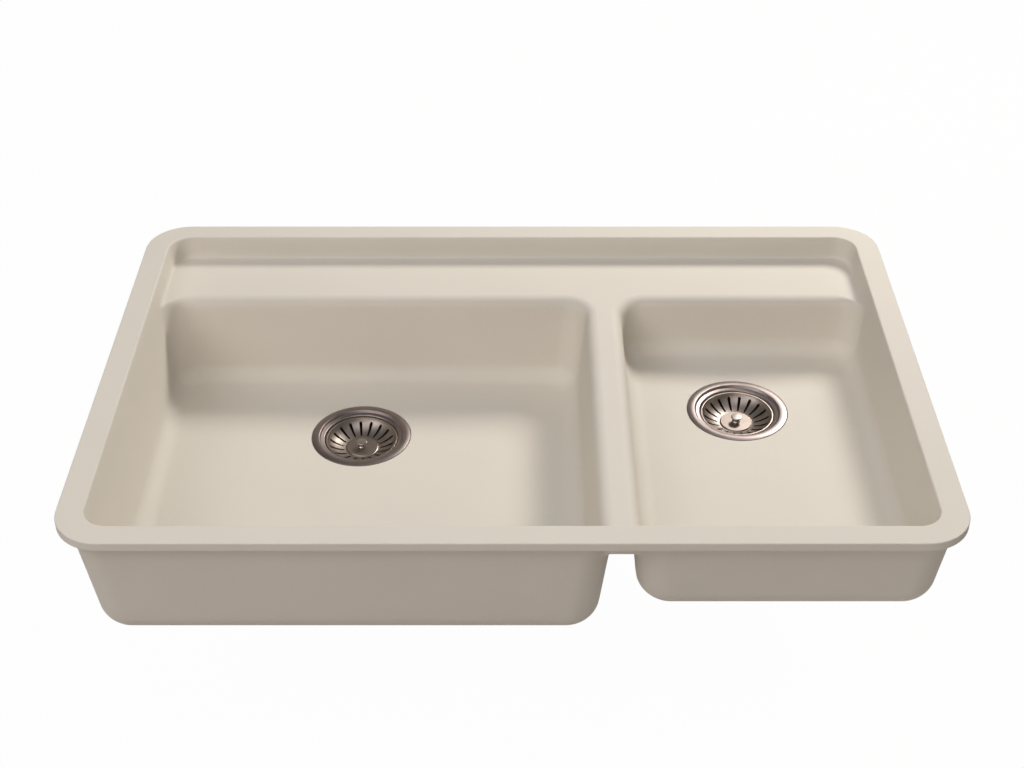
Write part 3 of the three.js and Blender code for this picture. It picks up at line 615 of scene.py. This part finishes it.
def ring(bore, outer, top, foot, rounds, *more):
    """A ring's section: its corners from the top of the bore round to the top of the outer
    wall, each with its own round, and any more on its upper face."""
    corners = ((bore, top), (bore, foot), (outer, foot), (outer, top))
    return section(*((*corner, each) for corner, each in zip(corners, rounds)), *more)


def closer(path, spacing, low, high):
    """The same closed section with points no further than `spacing` apart between two
    heights, so that a thread can be drawn there."""
    slack = 0.01
    pieces = []
    for start, end in zip(path, np.roll(path, -1, axis=0)):
        lower, upper = sorted((start[1], end[1]))
        inside = low - slack <= lower and upper <= high + slack
        count = int(np.ceil(np.linalg.norm(end - start) / spacing)) if inside else 1
        share = np.arange(count)[:, None] / count
        pieces.append(start + (end - start) * share)
    return np.concatenate(pieces)


def turned(prefix, name, path, segments, swell=None):
    """A section carried round a drain's axis: the point at a bearing is the centre plus
    (radius cos, radius sin, height). swell(radius, height, bearing) adds to the radius."""
    centre = DRAINS[prefix]
    bearing = np.arange(segments) * 2 * np.pi / segments
    radius, height = path[:, :1], path[:, 1:]
    if swell:
        radius = radius + swell(radius, height, bearing[None])
    x = centre[0] + radius * np.cos(bearing)
    y = centre[1] + radius * np.sin(bearing)
    z = centre[2] + height + 0 * bearing
    points = np.stack([x, y, z], axis=-1).reshape(-1, 3)
    number = np.arange(len(points)).reshape(len(path), segments)
    quads = lattice_quads(number, wrap_rows=True, wrap_columns=True)
    mesh = mesh_of(f"{prefix}_{name}", points, quads)
    close_poles(mesh)
    return mesh


def thread(crest, low, high):
    """A screw thread: a triangular wave of the height and the bearing together, cut into
    the crest's radius, that runs out over one pitch at each end."""

    def swell(radius, height, bearing):
        phase = np.mod(height / THREAD_PITCH - bearing / (2 * np.pi), 1)
        groove = 1 - np.abs(2 * phase - 1)
        ends = np.clip(np.minimum(height - low, high - height) / THREAD_PITCH, 0, 1)
        tolerance = 0.05
        on_crest = np.abs(radius - crest) < tolerance
        return -THREAD_DEPTH * groove * ends * on_crest

    return swell


def lobes(count, outer, lobe):
    """Equal lobes on an outer wall: lobe(arc) is the rise at a distance along the arc
    from the lobe's middle. Further in than `depth` the wall stays round, and the lobes
    grow to their whole height over `ramp`."""
    depth, ramp = 3, 2

    def swell(radius, height, bearing):
        pitch = 2 * np.pi / count
        arc = outer * (np.mod(bearing + pitch / 2, pitch) - pitch / 2)
        return lobe(arc) * np.clip((radius - outer + depth) / ramp, 0, 1)

    return swell


def strainer_body(prefix):
    """Pressed flange with a low crown, stepped mouth, straight cup, sloping seat and
    threaded outlet; the outside carries the thread for the locknut."""
    outer = CUP_BORE_RADIUS + SHEET
    floor_radius = CUP_BORE_RADIUS - CUP_BOTTOM_ROUND
    floor = CUP_WALL_FOOT - CUP_BOTTOM_ROUND
    crown_radius, mouth_radius, step_radius = 52.4, 48.2, 46.6
    edge_foot, edge_top, mouth_top, step_top, cup_top = -1.1, 0.05, 0.75, -1.75, -2.7
    under_mouth, under_step, under_cup = -0.85, -2.95, -4.7
    path = section(
        (STRAINER_FLANGE_RADIUS, edge_foot, 0.15), (STRAINER_FLANGE_RADIUS, edge_top, 0.4),
        (crown_radius, STRAINER_CROWN, 12), (mouth_radius, mouth_top, 1.5),
        (step_radius, step_top, 0.7), (CUP_BORE_RADIUS, cup_top, 1.7),
        (CUP_BORE_RADIUS, floor, CUP_BOTTOM_ROUND - 0.2), (SEAT_RADIUS, SEAT_LIP, 0.6),
        (OUTLET_BORE_RADIUS, OUTLET_TOP, 1.2), (OUTLET_BORE_RADIUS, OUTLET_END, 0.3),
        (OUTLET_THREAD_RADIUS, OUTLET_END, 0.3), (OUTLET_THREAD_RADIUS, OUTLET_TOP, 0.3),
        (SEAT_RADIUS + SHEET, SEAT_LIP - SHEET, 0.8), (floor_radius, floor - SHEET, 3),
        (outer, CUP_WALL_FOOT - 3, 2.6), (outer, under_cup, 1.2),
        (step_radius - 0.4, under_step, 0.5), (mouth_radius + 0.5, under_mouth, 0.6),
    )
    path = closer(path, THREAD_PITCH / 6, OUTLET_END, GASKET_TOP)
    outlet = thread(OUTLET_THREAD_RADIUS, OUTLET_END, OUTLET_TOP)
    cup = thread(outer, CUP_WALL_FOOT, GASKET_TOP)
    return turned(prefix, "strainer_shell", path, 144,
                  lambda *point: outlet(*point) + cup(*point))


def basket(prefix):
    """Shallow pressed bowl: its wall is half a quarter-ellipse and half the straight cone
    between the rim and the foot. Eighteen slots are cut through it."""
    wall_steps = 22
    share = np.linspace(0, 1, wall_steps)[:, None]
    across = (1 - np.cos(share * np.pi / 2) + share) / 2
    down = (np.sin(share * np.pi / 2) + share) / 2
    foot_radius = BASKET_DISC_RADIUS + BASKET_SHEET
    wall_top = BASKET_RIM_TOP - BASKET_SHEET
    radius = BASKET_WALL_RADIUS - across * (BASKET_WALL_RADIUS - foot_radius)
    height = wall_top - down * (wall_top - BASKET_FOOT)
    inner = np.hstack([radius, height])
    slope = share * np.pi / 2
    outer = inner + BASKET_SHEET * np.hstack([np.cos(slope), -np.sin(slope)])
    rim = section(
        (BASKET_RIM_RADIUS, BASKET_RIM_TOP - BASKET_SHEET, 0.35),
        (BASKET_RIM_RADIUS, BASKET_RIM_TOP, 0.45),
        (BASKET_WALL_RADIUS + 0.5, BASKET_RIM_TOP, 0.5),
        (BASKET_WALL_RADIUS, wall_top, 0),
    )[:-1]
    edge_width, edge_drop, edge_lean = 0.5, 0.35, 0.1
    disc = np.array([
        [BASKET_DISC_RADIUS, BASKET_FOOT + edge_width],
        [BASKET_DISC_RADIUS - edge_lean, BASKET_DISC_TOP - edge_drop],
        [BASKET_DISC_RADIUS - edge_width, BASKET_DISC_TOP], [NECK_BORE_RADIUS, BASKET_DISC_TOP],
        [NECK_BORE_RADIUS, BASKET_DISC_TOP - BASKET_SHEET],
        [BASKET_DISC_RADIUS - BASKET_SHEET, BASKET_DISC_TOP - BASKET_SHEET],
    ])
    path = np.vstack([rim, inner, disc, outer[::-1]])
    shell = turned(prefix, "basket_dish", path, 144)
    return carve(shell, slots(DRAINS[prefix], BASKET_TURN[prefix]))


def slots(centre, turn):
    """Tapered slots with round ends, all as one cutter: each outline is two arcs, carried
    straight down through the dish, and is turned to its place round the axis."""
    arc = np.linspace(-np.pi / 2, np.pi / 2, 9)
    wide, narrow = SLOT_OUTER_WIDTH / 2, SLOT_INNER_WIDTH / 2
    far, near = SLOT_OUTER_RADIUS - wide, SLOT_INNER_RADIUS + narrow
    x = np.concatenate([far + wide * np.cos(arc), near - narrow * np.cos(arc)])
    y = np.concatenate([wide * np.sin(arc), -narrow * np.sin(arc)])
    bearing = np.radians(turn + np.arange(SLOT_COUNT) * 360 / SLOT_COUNT)[:, None]
    across = centre[0] + x * np.cos(bearing) - y * np.sin(bearing)
    along = centre[1] + x * np.sin(bearing) + y * np.cos(bearing)
    count = len(x)
    below, above = 4, 1
    levels = centre[2] + np.array([BASKET_FOOT - below, BASKET_RIM_TOP + above])
    rings = np.broadcast_arrays(across[:, None], along[:, None], levels[:, None])
    points = np.stack(rings, axis=-1).reshape(-1, 3)
    low = np.arange(SLOT_COUNT)[:, None] * 2 * count + np.arange(count)
    high = low + count
    sides = np.stack([low, np.roll(low, -1, 1), np.roll(high, -1, 1), high], -1).reshape(-1, 4)
    mesh = bpy.data.meshes.new("slot_cutter")
    faces = sides.tolist() + low[:, ::-1].tolist() + high.tolist()
    mesh.from_pydata((points * MM).tolist(), [], faces)
    mesh.update()
    return mesh


def basket_stem(prefix):
    """Waisted knob, neck, collar under the basket, shaft and riveted head."""
    head_height, shoulder_height, flare_height = 1.3, 3.2, 1.2
    waist_top_radius, waist_radius, flare_radius = 3.5, 3.4, 4.6
    path = section(
        (0, KNOB_TOP, 0), (KNOB_RADIUS, KNOB_TOP, 0.7),
        (KNOB_RADIUS, KNOB_TOP - head_height, 0.5),
        (waist_top_radius, KNOB_TOP - shoulder_height, 1.4),
        (waist_radius, KNOB_FOOT + flare_height, 1.0), (flare_radius, KNOB_FOOT + 0.1, 0.1),
        (flare_radius - 0.1, KNOB_FOOT, 0.05), (NECK_RADIUS, KNOB_FOOT, 0.1),
        (NECK_RADIUS, COLLAR_TOP, 0.1), (COLLAR_RADIUS, COLLAR_TOP, 0.3),
        (COLLAR_RADIUS, COLLAR_FOOT, 0.5), (SHAFT_RADIUS, COLLAR_FOOT, 0.4),
        (SHAFT_RADIUS, RIVET_TOP, 0.2), (RIVET_RADIUS, RIVET_TOP, 0.2),
        (RIVET_RADIUS, RIVET_FOOT, 1.2), (0, RIVET_FOOT, 0),
    )
    return turned(prefix, "stem_turning", path, 72)


def stopper_plate(prefix):
    """Steel washer that backs the rubber, its upper edge rolled by the punch."""
    rounds = (0.2, 0.2, 0.3, 0.5)
    path = ring(SHAFT_HOLE_RADIUS, PLATE_RADIUS, PLATE_TOP, PLATE_FOOT, rounds)
    return turned(prefix, "stopper_backing", path, 72)


def stopper_seal(prefix):
    """Moulded rubber stopper, tapered like the seat under it, with two sealing lips."""
    foot_radius, low_lip, groove, high_lip, top_radius = 21.1, 22.3, 22, 24.3, 23.6
    low_lip_rise, groove_rise, high_lip_rise, high_lip_end = 1.4, 1.7, 3.3, 4.5
    path = section(
        (SHAFT_HOLE_RADIUS, SEAL_TOP, 0.3), (SHAFT_HOLE_RADIUS, SEAL_FOOT, 0.3),
        (foot_radius, SEAL_FOOT, 0.9), (low_lip, SEAL_FOOT + low_lip_rise, 0.2),
        (groove, SEAL_FOOT + groove_rise, 0.2), (high_lip, SEAL_FOOT + high_lip_rise, 0.5),
        (high_lip, SEAL_FOOT + high_lip_end, 0.4), (top_radius, SEAL_TOP - 1, 0.3),
        (top_radius, SEAL_TOP, 0.6),
    )
    return turned(prefix, "stopper_rubber", path, 96)


def putty_ring(prefix):
    """Bead of putty squeezed out between recess and flange, its outer edge uneven: it
    draws back by the sum of three waves round the ring."""
    inner, outer, top, foot = 48.8, 55.3, -1.4, -3.7
    size, crest = 0.25, 2
    waves = ((1, 5, 0), (0.6, 13, 1), (0.4, 29, 0))

    def swell(radius, height, bearing):
        wave = sum(share * np.sin(count * bearing + phase) for share, count, phase in waves)
        return size * (wave - crest) * (radius > (inner + outer) / 2)

    path = ring(inner, outer, top, foot, (0.4, 0.6, 0.5, 0.4))
    return turned(prefix, "putty_bead", path, 144, swell)


def rubber_gasket(prefix):
    """Flat moulded ring with two raised beads on its face."""
    bead_height, bead_half_width, outer_bead, inner_bead = 0.3, 0.8, 53.4, 46.8
    face = GASKET_TOP - bead_height
    beads = [(bead + step, GASKET_TOP if step == 0 else face, 0.15)
             for bead in (outer_bead, inner_bead)
             for step in (bead_half_width, 0, -bead_half_width)]
    path = ring(GASKET_BORE_RADIUS, GASKET_RADIUS, face, GASKET_FOOT, [0.4] * 4, *beads)
    return turned(prefix, "gasket_moulding", path, 120)


def friction_washer(prefix):
    """Punched fibre ring, its edges slightly rounded by the punch."""
    rounds = (0.3, 0.1, 0.1, 0.3)
    path = ring(GASKET_BORE_RADIUS, FRICTION_RADIUS, FRICTION_TOP, FRICTION_FOOT, rounds)
    return turned(prefix, "fibre_ring", path, 120)


def locknut(prefix):
    """Cast ring with eight square lugs for the spanner, chamfered at its mouth. A lug
    rises as a smooth step of the distance along the arc."""
    lugs, bore, outer, chamfer = 8, 43.7, 49.7, 1
    lug_half_width, lug_ramp, lug_rise = 4.5, 0.9, 4.7

    def lug(arc):
        share = np.clip((lug_half_width - np.abs(arc)) / lug_ramp + 0.5, 0, 1)
        return lug_rise * share * share * (3 - 2 * share)

    path = section(
        (bore + chamfer, LOCKNUT_TOP, 0.2), (bore, LOCKNUT_TOP - chamfer, 0.1),
        (bore, LOCKNUT_FOOT + chamfer, 0.1), (bore + chamfer, LOCKNUT_FOOT, 0.2),
        (outer, LOCKNUT_FOOT, 1), (outer, LOCKNUT_TOP, 1),
    )
    return turned(prefix, "nut_casting", path, 288, lobes(lugs, outer, lug))


def tail_washer(prefix):
    """Moulded nylon ring with rounded edges."""
    rounds = (0.4, 0.4, 0.6, 0.6)
    path = ring(OUTLET_BORE_RADIUS, TAIL_FLANGE_RADIUS, TAIL_WASHER_TOP, TAIL_WASHER_FOOT, rounds)
    return turned(prefix, "nylon_ring", path, 96)


def tailpiece(prefix):
    """Drawn tube with a turned-out flange, its open end slightly rounded."""
    path = section(
        (TAIL_BORE_RADIUS, TAIL_TOP, 0.8), (TAIL_BORE_RADIUS, TAIL_END, 0.3),
        (TAIL_RADIUS, TAIL_END, 0.3), (TAIL_RADIUS, TAIL_FLANGE_FOOT, 1),
        (TAIL_FLANGE_RADIUS, TAIL_FLANGE_FOOT, 0.5), (TAIL_FLANGE_RADIUS, TAIL_TOP, 0.5),
    )
    return turned(prefix, "tail_tube", path, 96)


def coupling_nut(prefix):
    """Chromed nut with eight round grips: each is half a circle along the arc."""
    grips, grip, outer, bore, hole, top = 8, 2.3, 28.8, 24.3, 19.5, -53.6
    shoulder = TAIL_FLANGE_FOOT - GAP
    foot = shoulder - 3

    def ridge(arc):
        return np.sqrt(np.clip(grip ** 2 - arc ** 2, 0, None))

    path = section(
        (bore + 0.7, top, 0.3), (bore, top - 1, 0.2), (bore, shoulder, 0.2),
        (hole, shoulder, 0.2), (hole, foot, 0.3), (outer, foot, 1.2), (outer, top, 1.2),
    )
    return turned(prefix, "coupling_casting", path, 288,
                  lobes(grips, outer, ridge))


# ---------- materials ----------


def linear(colour):
    """An sRGB hex colour as linear RGBA."""
    parts = np.array([int(colour[i:i + 2], 16) for i in (1, 3, 5)]) / 255
    light = np.where(parts <= 0.04045, parts / 12.92, ((parts + 0.055) / 1.055) ** 2.4)
    return (*light.tolist(), 1.0)


def add(tree, kind, inputs=(), **settings):
    """A node with its settings, and its inputs' values or the sockets that feed them."""
    node = tree.nodes.new(kind)
    for name, value in settings.items():
        setattr(node, name, value)
    for name, value in dict(inputs).items():
        if isinstance(value, bpy.types.NodeSocket):
            tree.links.new(value, node.inputs[name])
        else:
            node.inputs[name].default_value = value
    return node


def per_metre(size_mm):
    """Texture scale at which one feature is this many millimetres."""
    return 1 / (size_mm * MM)


def new_material(name):
    """An empty node material: its tree, and the object coordinates in it."""
    material = bpy.data.materials.new(name)
    material.use_nodes = True
    tree = material.node_tree
    tree.nodes.clear()
    place_in_object = add(tree, "ShaderNodeTexCoord").outputs["Object"]
    return material, tree, place_in_object


def blend_colours(tree, factor, first, second):
    """Colour between two others by a factor socket; the first may be a socket too."""
    mix = add(tree, "ShaderNodeMix", data_type="RGBA")
    if isinstance(first, str):
        mix.inputs[6].default_value = linear(first)
    else:
        tree.links.new(first, mix.inputs[6])
    mix.inputs[7].default_value = linear(second)
    tree.links.new(factor, mix.inputs[0])
    return mix.outputs[2]


def noise(tree, at, size_mm, detail, roughness=0.5, distortion=0):
    """A noise whose features are this many millimetres, about 0 to 1."""
    return add(tree, "ShaderNodeTexNoise", {
        "Vector": at, "Scale": per_metre(size_mm), "Detail": detail,
        "Roughness": roughness, "Distortion": distortion}).outputs["Fac"]


def remap(tree, value, low, high, start=0, end=1):
    """A value from start to end, carried to low to high and held within them."""
    return add(tree, "ShaderNodeMapRange", {
        "Value": value, "From Min": start, "From Max": end,
        "To Min": low, "To Max": high}).outputs[0]


def dents(tree, height, strength, depth_mm):
    """The normal of a surface with this height on it."""
    return add(tree, "ShaderNodeBump", {
        "Height": height, "Strength": strength, "Distance": depth_mm * MM}).outputs[0]


def coat(material, colour, roughness, normal, **others):
    """The material, ended in one principled shader."""
    tree = material.node_tree
    more = {name.replace("_", " "): value for name, value in others.items()}
    shader = add(tree, "ShaderNodeBsdfPrincipled", {
        "Base Color": colour, "Roughness": roughness, "Normal": normal, **more})
    add(tree, "ShaderNodeOutputMaterial", {"Surface": shader.outputs[0]})
    return material


def cast_solid_surface():
    """Acrylic filled with ground mineral, cast in a mould and sanded matt by hand.

    The eye gets a warm pale stone colour with a faint cloudiness a hand wide, fine paler
    and darker grains of filler, and a soft broad sheen broken by the sanding.
    """
    material, tree, at = new_material("cast_solid_surface")
    # The filler's grains are about 0.2 mm; they are drawn at 1.3 mm so that they show.
    grain = remap(tree, noise(tree, at, 1.3, 3, 0.6), 0, 0.5, 0.3, 0.7)
    cloud = remap(tree, noise(tree, at, 110, 2), 0, 1, 0.35, 0.65)
    clouded = blend_colours(tree, cloud, "#ddd7cc", "#dbd5ca")
    colour = blend_colours(tree, grain, clouded, "#d5cfc4")
    # Sanding scratches are far finer than a pixel; they are drawn as a 2.2 mm unevenness.
    sanding = noise(tree, at, 2.2, 4, 0.65)
    return coat(material, colour, remap(tree, sanding, 0.66, 0.8),
                dents(tree, sanding, 0.25, 0.06), IOR=1.5)


def rings_round(tree, at, centre, spacing_mm):
    """Concentric tool marks: a one-way noise of the distance from a drain's axis."""
    offset = tuple(-MM * value for value in centre[:2]) + (0,)
    centred = add(tree, "ShaderNodeMapping", {"Vector": at, "Location": offset})
    flat = add(tree, "ShaderNodeVectorMath", {
        0: centred.outputs[0], 1: (1, 1, 0)}, operation="MULTIPLY")
    radius = add(tree, "ShaderNodeVectorMath", {0: flat.outputs[0]}, operation="LENGTH")
    return add(tree, "ShaderNodeTexNoise", {
        "W": radius.outputs["Value"], "Scale": per_metre(spacing_mm), "Detail": 2,
        "Roughness": 0.7}, noise_dimensions="1D").outputs["Fac"]


def spun_steel(name, prefix, colours, roughness, marks_mm, mark_depth_mm):
    """Stainless sheet pressed to shape and finished spinning against a belt.

    The eye gets rings of fine marks that draw each highlight out across them, and a
    slightly uneven satin between a duller and a brighter grey.
    """
    material, tree, at = new_material(f"{name}_{prefix}")
    rings = rings_round(tree, at, DRAINS[prefix], marks_mm)
    colour = blend_colours(tree, noise(tree, at, 9, 3, 0.55), *colours)
    return coat(material, colour, remap(tree, rings, *roughness, 0.25, 0.75),
                dents(tree, rings, 0.5, mark_depth_mm), Metallic=1)


def moulded_rubber():
    """Black nitrile rubber, moulded and dusted with talc.

    The eye gets a deep grey with a dull bloom in patches and a fine grain.
    """
    material, tree, at = new_material("moulded_rubber")
    bloom = noise(tree, at, 7, 4, 0.6)
    # Mould grain, real size about 0.3 mm, drawn at 0.9 mm.
    grain = add(tree, "ShaderNodeTexVoronoi", {"Vector": at, "Scale": per_metre(0.9)})
    return coat(material, blend_colours(tree, bloom, "#1b1b1c", "#343333"),
                remap(tree, bloom, 0.6, 0.85), dents(tree, grain.outputs["Distance"], 0.4, 0.05))


def kneaded_putty():
    """Oil putty rolled by hand into a bead and squeezed flat.

    The eye gets a dull buff paste with dimples and slightly oily patches.
    """
    material, tree, at = new_material("kneaded_putty")
    knead = noise(tree, at, 5, 4, 0.55)
    return coat(material, blend_colours(tree, knead, "#8d8574", "#aba394"),
                remap(tree, knead, 0.55, 0.9), dents(tree, knead, 0.7, 0.4))


def pressed_fibre():
    """Vulcanised fibre sheet, punched into a washer.

    The eye gets a brown card with darker fibres lying every way.
    """
    material, tree, at = new_material("pressed_fibre")
    # Fibres are some 0.1 mm wide; they are drawn 0.8 mm wide and five times as long.
    stretched = add(tree, "ShaderNodeMapping", {"Vector": at, "Scale": (1, 0.2, 1)})
    fibres = noise(tree, stretched.outputs[0], 0.8, 4, 0.7, 1.5)
    return coat(material, blend_colours(tree, fibres, "#6d5238", "#a08464"), 0.85,
                dents(tree, fibres, 0.4, 0.08))


def sand_cast_brass():
    """Brass cast in sand, its skin left as it came and a little tarnished.

    The eye gets a grainy dull gold, browner in the hollows of the grain.
    """
    material, tree, at = new_material("sand_cast_brass")
    sand = noise(tree, at, 1.1, 5, 0.65)
    tarnish = noise(tree, at, 14, 3)
    gold = blend_colours(tree, tarnish, "#8f7440", "#b99a58")
    return coat(material, blend_colours(tree, sand, gold, "#a98c50"),
                remap(tree, tarnish, 0.38, 0.58), dents(tree, sand, 0.6, 0.15), Metallic=1)


def moulded_nylon():
    """White nylon, injection moulded.

    The eye gets a waxy off-white with a faint flow pattern.
    """
    material, tree, at = new_material("moulded_nylon")
    flow = noise(tree, at, 6, 2, distortion=0.8)
    return coat(material, blend_colours(tree, flow, "#ddd9cd", "#ece9e0"), 0.42,
                dents(tree, flow, 0.2, 0.05), Subsurface_Weight=0.1, Subsurface_Scale=1 * MM)


def chromed_brass():
    """Brass tube and nuts, polished and chromed.

    The eye gets a cool mirror, softened by polishing waves and a film of handling.
    """
    material, tree, at = new_material("chromed_brass")
    film = noise(tree, at, 18, 3)
    return coat(material, blend_colours(tree, film, "#bfc1c4", "#d0d1d2"),
                remap(tree, film, 0.1, 0.2, 0.3, 0.7), dents(tree, film, 0.15, 0.1), Metallic=1)


# ---------- the pieces, dressed ----------

STONE = cast_solid_surface()
RUBBER = moulded_rubber()
PUTTY = kneaded_putty()
FIBRE = pressed_fibre()
BRASS = sand_cast_brass()
NYLON = moulded_nylon()
CHROME = chromed_brass()


def dress(name, mesh, material, node, body, crease=35):
    """A finished piece, shaded smooth except over edges sharper than `crease`. It stands
    for its CAD node and rides with the node's body."""
    mesh.polygons.foreach_set("use_smooth", np.ones(len(mesh.polygons), bool))
    mesh.set_sharp_from_angle(angle=np.radians(crease))
    mesh.materials.clear()
    mesh.materials.append(material)
    piece = put_in_scene(name, mesh)
    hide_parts(node)
    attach(piece, body)


def drain_cutter(prefix):
    """The hole through a floor and the recess for the strainer's flange."""
    clearance, flare, flare_foot, lip = 8, 6, 1, 0.4
    top, through = clearance, -DRAIN_FLOOR_THICKNESS - clearance
    path = section(
        (0, top, 0), (DRAIN_RECESS_RADIUS + flare, top, 0),
        (DRAIN_RECESS_RADIUS + flare, flare_foot, 0),
        (DRAIN_RECESS_RADIUS + DRAIN_RECESS_ROUND, lip, 0),
        (DRAIN_RECESS_RADIUS, -DRAIN_RECESS_ROUND, 0.3),
        (DRAIN_RECESS_RADIUS, -DRAIN_RECESS_DEPTH, 0.5),
        (DRAIN_HOLE_RADIUS, -DRAIN_RECESS_DEPTH, 0.5), (DRAIN_HOLE_RADIUS, through, 0),
        (0, through, 0),
    )
    return turned(prefix, "drain_cutter", path, 144)


casting = basin_mesh()
for prefix in DRAINS:
    casting = carve(casting, drain_cutter(prefix))
dress("basin_visual", casting, STONE, "basin", "sink", 60)

# Name, two colours, range of roughness, then the marks' spacing and depth in millimetres.
STEELS = (
    ("satin_steel", ("#8b807e", "#9c918e"), (0.36, 0.46), 0.5, 0.02),
    ("pressed_steel", ("#90857f", "#a2978f"), (0.36, 0.46), 0.6, 0.015),
    ("turned_steel", ("#a9a19b", "#b8b0a9"), (0.28, 0.38), 0.4, 0.01),
)
for prefix in DRAINS:
    flange_steel, basket_steel, knob_steel = (
        spun_steel(name, prefix, *finish) for name, *finish in STEELS)
    basket_body, stopper = f"{prefix}_basket_body", f"{prefix}_stopper"
    for name, make, material, node, body, slot in (
            ("strainer", strainer_body, flange_steel, "strainer_body", "sink", "satin_steel"),
            ("putty", putty_ring, PUTTY, "putty_ring", "sink", "putty"),
            ("gasket", rubber_gasket, RUBBER, "rubber_gasket", "sink", "black_rubber"),
            ("friction", friction_washer, FIBRE, "friction_washer", "sink", "fibre"),
            ("locknut", locknut, BRASS, "locknut", "sink", "cast_brass"),
            ("basket", basket, basket_steel, "basket", basket_body, "basket_steel"),
            ("stem", basket_stem, knob_steel, "basket_stem", stopper, "stem_steel"),
            ("plate", stopper_plate, knob_steel, "stopper_plate", stopper, "stem_steel"),
            ("seal", stopper_seal, RUBBER, "stopper_seal", stopper, "black_rubber"),
            ("washer", tail_washer, NYLON, "tail_washer", "sink", "white_nylon"),
            ("tailpiece", tailpiece, CHROME, "tailpiece", "sink", "chromed_brass"),
            ("coupling", coupling_nut, CHROME, "coupling_nut", "sink", "chromed_brass")):
        dress(f"{prefix}_{name}_visual", make(prefix), material, f"{prefix}_{node}", body)

# ---------- camera, floor and light ----------

CAMERA_LEFT = 0.4
CAMERA_BACK = 1480.0
CAMERA_UP = 1033.35
CAMERA_PITCH = np.radians(35.61)
FOCAL_PIXELS = 1667.2
IMAGE_WIDTH = 1024

camera_data = bpy.data.cameras.new("camera")
camera_data.sensor_width = 36
camera_data.lens = FOCAL_PIXELS / IMAGE_WIDTH * camera_data.sensor_width
camera = put_in_scene("camera", camera_data)
camera.location = (-CAMERA_LEFT * MM, -CAMERA_BACK * MM, CAMERA_UP * MM)
camera.rotation_euler = (np.pi / 2 - CAMERA_PITCH, 0, 0)
bpy.context.scene.camera = camera


def seen_directly(tree):
    """One for rays from the camera, and for those that mirror or pass through a piece."""
    path = add(tree, "ShaderNodeLightPath")
    straight = add(tree, "ShaderNodeMath", {
        0: path.outputs["Is Camera Ray"], 1: path.outputs["Is Glossy Ray"]},
        operation="MAXIMUM")
    return add(tree, "ShaderNodeMath", {
        0: straight.outputs[0], 1: path.outputs["Is Transmission Ray"]},
        operation="MAXIMUM").outputs[0]


def studio_floor():
    """A plain pale floor just under the tail tubes. Seen directly it is nearly white, and
    keeps a share of its lit colour, so that the sink's soft shadow shows on it."""
    reach, gap, glow_share = 40, 0.0005, 0.98
    level = CAD_BOX[0][2] - gap
    mesh = bpy.data.meshes.new("studio_floor")
    corners = [(x * reach, y * reach, level) for x, y in ((-1, -1), (1, -1), (1, 1), (-1, 1))]
    mesh.from_pydata(corners, [], [(0, 1, 2, 3)])
    floor = put_in_scene("studio_floor", mesh)
    material = bpy.data.materials.new("pale_floor")
    material.use_nodes = True
    tree = material.node_tree
    tree.nodes.clear()
    paint = add(tree, "ShaderNodeBsdfDiffuse", {"Color": linear("#cfcdca")})
    glow = add(tree, "ShaderNodeEmission", {"Color": (1, 1, 1, 1), "Strength": 1.0})
    share = add(tree, "ShaderNodeMath", {0: seen_directly(tree), 1: glow_share},
                operation="MULTIPLY")
    mixed = add(tree, "ShaderNodeMixShader", {
        0: share.outputs[0], 1: paint.outputs[0], 2: glow.outputs[0]})
    add(tree, "ShaderNodeOutputMaterial", {"Surface": mixed.outputs[0]})
    mesh.materials.append(material)


def studio_world(ambient):
    """White behind the object, and a soft even fill for everything it lights."""
    world = bpy.data.worlds.new("studio")
    bpy.context.scene.world = world
    world.use_nodes = True
    tree = world.node_tree
    tree.nodes.clear()
    fill = add(tree, "ShaderNodeBackground", {"Color": linear("#fffdfa"), "Strength": ambient})
    white = add(tree, "ShaderNodeBackground", {"Color": (1, 1, 1, 1), "Strength": 1.0})
    path = add(tree, "ShaderNodeLightPath")
    mixed = add(tree, "ShaderNodeMixShader", {
        0: path.outputs["Is Camera Ray"], 1: fill.outputs[0], 2: white.outputs[0]})
    add(tree, "ShaderNodeOutputWorld", {"Surface": mixed.outputs[0]})


def softbox(name, place_m, size_m, watts, colour):
    """A square lamp that faces the middle of the flange."""
    data = bpy.data.lights.new(name, "AREA")
    data.size = size_m
    data.energy = watts
    data.color = linear(colour)[:3]
    lamp = put_in_scene(name, data)
    lamp.location = place_m
    aim = -Vector(place_m)
    lamp.rotation_euler = aim.to_track_quat("-Z", "Y").to_euler()


studio_floor()
studio_world(0.1)
softbox("back_right_key", (1.11, 1.68, 1.45), 0.55, 45, "#fffaf4")
softbox("high_front_fill", (0, -0.95, 2.6), 1.8, 20, "#ffffff")
softbox("left_front_fill", (-1.6, -1.1, 1.8), 1.4, 20, "#ffffff")
softbox("low_front_fill", (-0.5, -2.6, 1.1), 1.5, 12, "#ffeae3")

bpy.context.scene.view_settings.view_transform = "Standard"
